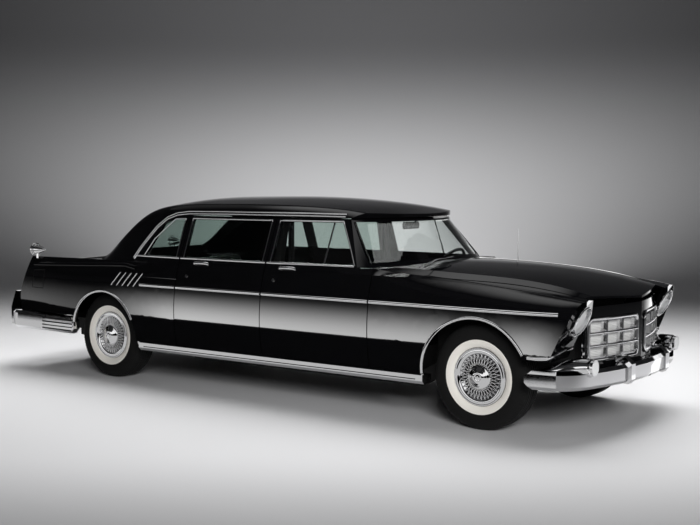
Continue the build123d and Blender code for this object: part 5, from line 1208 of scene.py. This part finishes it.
# %% Door cards
DOOR_CARDS = {"front_door": (0.310, 1.120), "rear_door": (-0.660, 0.080)}
DOOR_CARD_GAP = 0.0006
DOOR_CARD_T = 0.007
DOOR_CARD_LOW, DOOR_CARD_TOP = 0.440, 1.090
DOOR_CARD_EDGE = 0.012
EDGE_SHARE = 0.25
PLEAT = 0.060
PLEAT_COLUMNS = 6
PLEAT_SWELL = 0.004
PLEAT_POWER = 0.7
REST_Z = 0.830
REST_HALF = 0.20
REST_LIFT = 0.022
REST_UNDER = 0.10
REST_STRIP = (0.060, 0.030)
LEVER_BACK = 0.10
LEVER_Z = 0.960
LEVER_SHAPE = [(0.0, 0.0, 0.002), (0.0, 0.0, 0.016), (-0.03, 0.002, 0.020), (-0.11, 0.006, 0.018)]
LEVER_STRIP = (0.014, 0.010)


def door_card(name, rear, front, inner, side, body):
    """A pleated sheet that hangs on the flat inner side of a door."""
    columns = round((front - rear) / PLEAT) * PLEAT_COLUMNS
    levels = [
        (DOOR_CARD_LOW, 0.0), (DOOR_CARD_LOW + DOOR_CARD_EDGE, 1.0), (REST_Z - REST_UNDER, 1.0),
        (REST_Z, 1.0), (DOOR_CARD_TOP - DOOR_CARD_EDGE, 1.0), (DOOR_CARD_TOP, 0.0),
    ]
    points = []
    for i in range(columns + 1):
        x = rear + (front - rear) * i / columns
        edge = 0.0 if i in (0, columns) else 1.0
        swell = PLEAT_SWELL * abs(sin(pi * (x - rear) / PLEAT)) ** PLEAT_POWER
        thick = [(DOOR_CARD_T + swell) * max(EDGE_SHARE, full * edge) for z, full in levels]
        back = inner - DOOR_CARD_GAP
        points += [Vector((x, side * back, z)) for z, full in levels]
        points += [Vector((x, side * (back - t), z)) for t, (z, full) in zip(thick, levels)]
    count = len(levels)
    ring = list(range(count)) + [2 * count - 1 - i for i in range(count)]
    faces = []
    for i in range(columns):
        here, there = 2 * count * i, 2 * count * (i + 1)
        for a, b in zip(ring, ring[1:] + ring[:1]):
            faces.append((here + a, here + b, there + b, there + a))
    last = 2 * count * columns
    faces.append(tuple(ring))
    faces.append(tuple(last + a for a in reversed(ring)))
    settle(name, closed_mesh(name, points, faces, (LEATHER,), smooth=False), body)


for side_name, side in SIDES.items():
    face_in = Vector((0.0, -side, 0.0))
    for door, (rear, front) in DOOR_CARDS.items():
        body = f"{door}_{side_name}"
        middle = 0.5 * (rear + front)
        inner = abs(skin_tree(body).ray_cast(Vector((middle, 0.0, REST_Z)), -face_in)[0].y)
        door_card(f"card_{body}", rear, front, inner, side, body)
        reach = side * (inner - DOOR_CARD_GAP - DOOR_CARD_T)
        rest = [
            (Vector((middle + share * REST_HALF, reach, REST_Z)) + face_in * (lift * REST_LIFT), face_in)
            for share, lift in HANDLE_SHAPE
        ]
        moulding(f"arm_rest_{body}", [rest], REST_STRIP, body, LEATHER)
        lever = [
            (Vector((front - LEVER_BACK + along, reach, LEVER_Z + rise)) + face_in * lift, face_in)
            for along, rise, lift in LEVER_SHAPE
        ]
        moulding(f"door_lever_{body}", [lever], LEVER_STRIP, body)
print("door cards:", 2 * len(DOOR_CARDS))

# %% [markdown]
# The studio is a pale floor that rises all round into a wall, like a shallow bowl, so no view shows a seam.
# The wall's colour darkens with height and the floor's towards the viewer: both are painted shade, standing in
# for the fall-off of the light. One large soft box hangs overhead, a smaller one fills in from the front
# right, and a low light hidden behind the car throws the glow on the wall.

# %% Studio
BOWL_FLAT = 11.0
BOWL_RISE = 7.0
BOWL_TOP = 14.0
BOWL_STEPS = 16
BOWL_ROUNDS = 96
BOWL_WELD = 0.0001
FLOOR_PALE = finish("studio_floor", (0.74, 0.74, 0.75), 0.7, grain=2.0, uneven=0.05)
# Painted shade: the wall's colour goes darker with height and the floor's toward the viewer, in place of light
# falling off.
WALL_PAINTED_SHADE = (0.16, 0.16, 0.165, 1.0)
WALL_SHADE_FADE = (1.2, 5.2)
TO_VIEWER = (0.616, -0.788, 0.0)
FLOOR_PAINTED_SHADE = (0.34, 0.34, 0.345, 1.0)
FLOOR_SHADE_FADE = (2.6, 5.0)
AIR_COLOUR = (0.5, 0.5, 0.52, 1.0)
AIR_STRENGTH = 0.07


def fade_node(tree, ends, values=(0.0, 1.0)):
    """A smooth step from one value to another between two places."""
    fade = add_node(tree, "ShaderNodeMapRange", interpolation_type="SMOOTHSTEP")
    fade.inputs["From Min"].default_value, fade.inputs["From Max"].default_value = ends
    fade.inputs["To Min"].default_value, fade.inputs["To Max"].default_value = values
    return fade


def socket_of(sockets, identifier):
    return next(socket for socket in sockets if socket.identifier == identifier)


def painted_shade_along(made, direction, dark, ends):
    """Paints shade into a finish: its colour goes to a darker one between two distances along a direction."""
    tree = made.node_tree
    colour = tree.nodes["Principled BSDF"].inputs["Base Color"]
    place = add_node(tree, "ShaderNodeTexCoord")
    reach = add_node(tree, "ShaderNodeVectorMath", operation="DOT_PRODUCT")
    reach.inputs[1].default_value = direction
    fade = fade_node(tree, ends)
    mix = add_node(tree, "ShaderNodeMix", data_type="RGBA")
    pale = socket_of(mix.inputs, "A_Color")
    socket_of(mix.inputs, "B_Color").default_value = dark
    if colour.is_linked:
        tree.links.new(colour.links[0].from_socket, pale)
    else:
        pale.default_value = colour.default_value
    tree.links.new(place.outputs["Object"], reach.inputs[0])
    tree.links.new(reach.outputs["Value"], fade.inputs["Value"])
    tree.links.new(fade.outputs["Result"], mix.inputs["Factor"])
    tree.links.new(socket_of(mix.outputs, "Result_Color"), colour)


# Paint shade into the floor and wall colour: darker up the wall and toward the viewer.
painted_shade_along(FLOOR_PALE, upward, WALL_PAINTED_SHADE, WALL_SHADE_FADE)
painted_shade_along(FLOOR_PALE, TO_VIEWER, FLOOR_PAINTED_SHADE, FLOOR_SHADE_FADE)


def studio_bowl():
    curve = [(0.0, 0.0), (BOWL_FLAT / 2, 0.0)]
    for step in range(BOWL_STEPS + 1):
        angle = 0.5 * pi * step / BOWL_STEPS
        curve.append((BOWL_FLAT + BOWL_RISE * sin(angle), BOWL_RISE * (1 - cos(angle))))
    curve.append((BOWL_FLAT + BOWL_RISE, BOWL_TOP))
    turns = [tau * t / BOWL_ROUNDS for t in range(BOWL_ROUNDS)]
    points = [(r * cos(turn), r * sin(turn), z) for turn in turns for r, z in curve]
    faces = []
    for t in range(BOWL_ROUNDS):
        here = t * len(curve)
        there = ((t + 1) % BOWL_ROUNDS) * len(curve)
        faces += [(here + i, there + i, there + i + 1, here + i + 1) for i in range(len(curve) - 1)]
    mesh = closed_mesh("studio_bowl", points, faces, (FLOOR_PALE,), weld=BOWL_WELD)
    if min(mesh.polygons, key=lambda p: p.center.length).normal.z < 0:
        mesh.flip_normals()
    bowl = bpy.data.objects.new("studio_bowl", mesh)
    scene.collection.objects.link(bowl)


studio_bowl()


def area_light(name, size, place, target, power, **unseen):
    """A soft box that the camera never sees. Other rays that miss it are given as visible_ray=False."""
    light = bpy.data.lights.new(name, "AREA")
    light.shape = "RECTANGLE"
    light.size, light.size_y = size
    light.energy = power
    lamp = bpy.data.objects.new(name, light)
    lamp.location = place
    lamp.rotation_euler = (Vector(target) - Vector(place)).to_track_quat("-Z", "Y").to_euler()
    lamp.visible_camera = False
    for ray, seen in unseen.items():
        setattr(lamp, ray, seen)
    scene.collection.objects.link(lamp)
    return lamp


BOXES = {
    "overhead_box": dict(size=(11.0, 6.0), place=(-0.6, 2.4, 6.4), target=(0.0, 0.6, 0.0), power=400.0),
    "fill_box": dict(size=(4.0, 3.0), place=(8.5, -8.5, 4.5), target=(1.0, -0.6, 0.6), power=110.0),
    "wall_glow": dict(size=(5.0, 1.0), place=(-4.6, 6.6, 1.2), target=(-8.5, 13.0, 3.6), power=370.0),
}
SPREADS = {"overhead_box": 100.0, "fill_box": 60.0, "wall_glow": 130.0}
for name, box in BOXES.items():
    lamp = area_light(name, **box, visible_glossy=False)
    lamp.data.spread = radians(SPREADS[name])
world = bpy.data.worlds.new("studio_air")
world.use_nodes = True
world.node_tree.nodes["Background"].inputs["Color"].default_value = AIR_COLOUR
world.node_tree.nodes["Background"].inputs["Strength"].default_value = AIR_STRENGTH
scene.world = world
print("studio: bowl,", len(BOXES), "lights and grey air")

# %% [markdown]
# Black enamel shows almost nothing of its own, so light cards draw its shape. A long low card stands on
# each side, brightest along its sharp lower edge and fading upward, which puts the bright band under the
# spear; a wide faint one hangs overhead. Only reflections see the cards. The side cards are linked to the
# enamel alone, so they don't burn out the chrome, which has softer lamps of its own. Black flags lie on the
# floor between the car and the side cards, as a photographer would lay cloth there, so that the lower body
# mirrors black and not the pale floor.

# %% Light cards
CARD_OUT = 3.3
CARD_LOW, CARD_TOP = 0.02, 1.30
CARD_REAR, CARD_FRONT = -9.0, 3.6
CARD_STRENGTH = 10.0
CARD_FRONT_FADE = 1.8
CARD_REAR_FADE = (-4.4, -2.7)
CARD_REAR_LEAST = 0.12
SKY_Z = 6.5
SKY_HALF = (7.5, 4.5)
SKY_FADE_FROM = 0.5
SKY_STRENGTH = 1.1
FLAG_IN, FLAG_OUT = 0.95, 3.25
FLAG_Z = 0.004
FLAG_BLACK = finish("flag_cloth", (0.01, 0.01, 0.01), 0.9, ior=1.1, grain=400.0, uneven=0.05)
BRIGHT_X = -2.0
BRIGHT_INSIDE = 0.1
BRIGHT_SIDE = dict(size=(12.0, 0.9), power=36.0)
BRIGHT_SIDE_Z = 1.1
BRIGHT_LOW = dict(size=(12.0, 2.2), power=46.0)
BRIGHT_LOW_Z = 0.012
BRIGHT_END = dict(size=(6.0, 0.9), power=17.0)
BRIGHT_END_X, BRIGHT_END_Z = 7.5, 1.2
UNSEEN_RAYS = ("camera", "diffuse", "transmission", "shadow", "volume_scatter")


def card_finish(name, axis, ends, strengths):
    """Light that fades along one axis of the studio, and toward both ends of the car."""
    made = bpy.data.materials.new(name)
    made.use_nodes = True
    tree = made.node_tree
    tree.nodes.clear()
    place = add_node(tree, "ShaderNodeTexCoord")
    split = add_node(tree, "ShaderNodeSeparateXYZ")
    reach = add_node(tree, "ShaderNodeMath", operation="ABSOLUTE")
    fade = fade_node(tree, ends, strengths)
    front_fade = fade_node(tree, (CARD_FRONT - CARD_FRONT_FADE, CARD_FRONT), (1.0, 0.0))
    rear_fade = fade_node(tree, CARD_REAR_FADE, (CARD_REAR_LEAST, 1.0))
    with_front = add_node(tree, "ShaderNodeMath", operation="MULTIPLY")
    with_both = add_node(tree, "ShaderNodeMath", operation="MULTIPLY")
    glow = add_node(tree, "ShaderNodeEmission")
    out = add_node(tree, "ShaderNodeOutputMaterial")
    tree.links.new(place.outputs["Object"], split.inputs["Vector"])
    tree.links.new(split.outputs[axis], reach.inputs[0])
    tree.links.new(reach.outputs["Value"], fade.inputs["Value"])
    tree.links.new(split.outputs["X"], front_fade.inputs["Value"])
    tree.links.new(split.outputs["X"], rear_fade.inputs["Value"])
    tree.links.new(fade.outputs["Result"], with_front.inputs[0])
    tree.links.new(front_fade.outputs["Result"], with_front.inputs[1])
    tree.links.new(with_front.outputs["Value"], with_both.inputs[0])
    tree.links.new(rear_fade.outputs["Result"], with_both.inputs[1])
    tree.links.new(with_both.outputs["Value"], glow.inputs["Strength"])
    tree.links.new(glow.outputs["Emission"], out.inputs["Surface"])
    return made


def light_card(name, corners, dress):
    mesh = bpy.data.meshes.new(name)
    mesh.from_pydata(corners, [], [(0, 1, 2, 3)])
    mesh.materials.append(dress)
    card = bpy.data.objects.new(name, mesh)
    scene.collection.objects.link(card)
    for ray in UNSEEN_RAYS:
        setattr(card, f"visible_{ray}", False)
    return card


def wearing(name, dress):
    """A collection of every piece that wears one finish, for light linking."""
    group = bpy.data.collections.new(name)
    for thing in list(scene.objects):
        if thing.type == "MESH" and dress.name in thing.data.materials:
            group.objects.link(thing)
    return group


enamel = wearing("enamel", BLACK_PAINT)
brightwork = wearing("brightwork", CHROME)


def bright_lamp(name, place, target, **lamp):
    """A lamp that only the chrome mirrors."""
    made = area_light(name, place=place, target=target, visible_diffuse=False, **lamp)
    made.light_linking.receiver_collection = brightwork


side_light = card_finish("side_card", "Z", (0.0, CARD_TOP), (CARD_STRENGTH, 0.0))
for side_name, side in SIDES.items():
    near, far = side * FLAG_IN, side * FLAG_OUT
    flag = [(CARD_REAR, near), (CARD_FRONT, near), (CARD_FRONT, far), (CARD_REAR, far)]
    light_card(f"flag_{side_name}", [(x, y, FLAG_Z) for x, y in flag], FLAG_BLACK)
    y = side * CARD_OUT
    upright = [(CARD_REAR, CARD_LOW), (CARD_FRONT, CARD_LOW), (CARD_FRONT, CARD_TOP), (CARD_REAR, CARD_TOP)]
    card = light_card(f"card_{side_name}", [(x, y, z) for x, z in upright], side_light)
    card.light_linking.receiver_collection = enamel
    beside = (BRIGHT_X, side * (CARD_OUT - BRIGHT_INSIDE), BRIGHT_SIDE_Z)
    bright_lamp(f"bright_{side_name}", beside, (BRIGHT_X, 0.0, BRIGHT_SIDE_Z), **BRIGHT_SIDE)
    middle = 0.5 * (near + far)
    below = (BRIGHT_X, middle, BRIGHT_LOW_Z)
    bright_lamp(f"bright_low_{side_name}", below, (BRIGHT_X, middle, BRIGHT_SIDE_Z), **BRIGHT_LOW)
for end, x in (("front", BRIGHT_END_X), ("rear", -BRIGHT_END_X)):
    bright_lamp(f"bright_{end}", (x, 0.0, BRIGHT_END_Z), (0.0, 0.0, BRIGHT_END_Z), **BRIGHT_END)
sky_light = card_finish("sky_card", "Y", (SKY_FADE_FROM, SKY_HALF[1]), (SKY_STRENGTH, 0.0))
sx, sy = SKY_HALF
overhead = [(-sx, -sy, SKY_Z), (sx, -sy, SKY_Z), (sx, sy, SKY_Z), (-sx, sy, SKY_Z)]
light_card("card_overhead", overhead, sky_light)
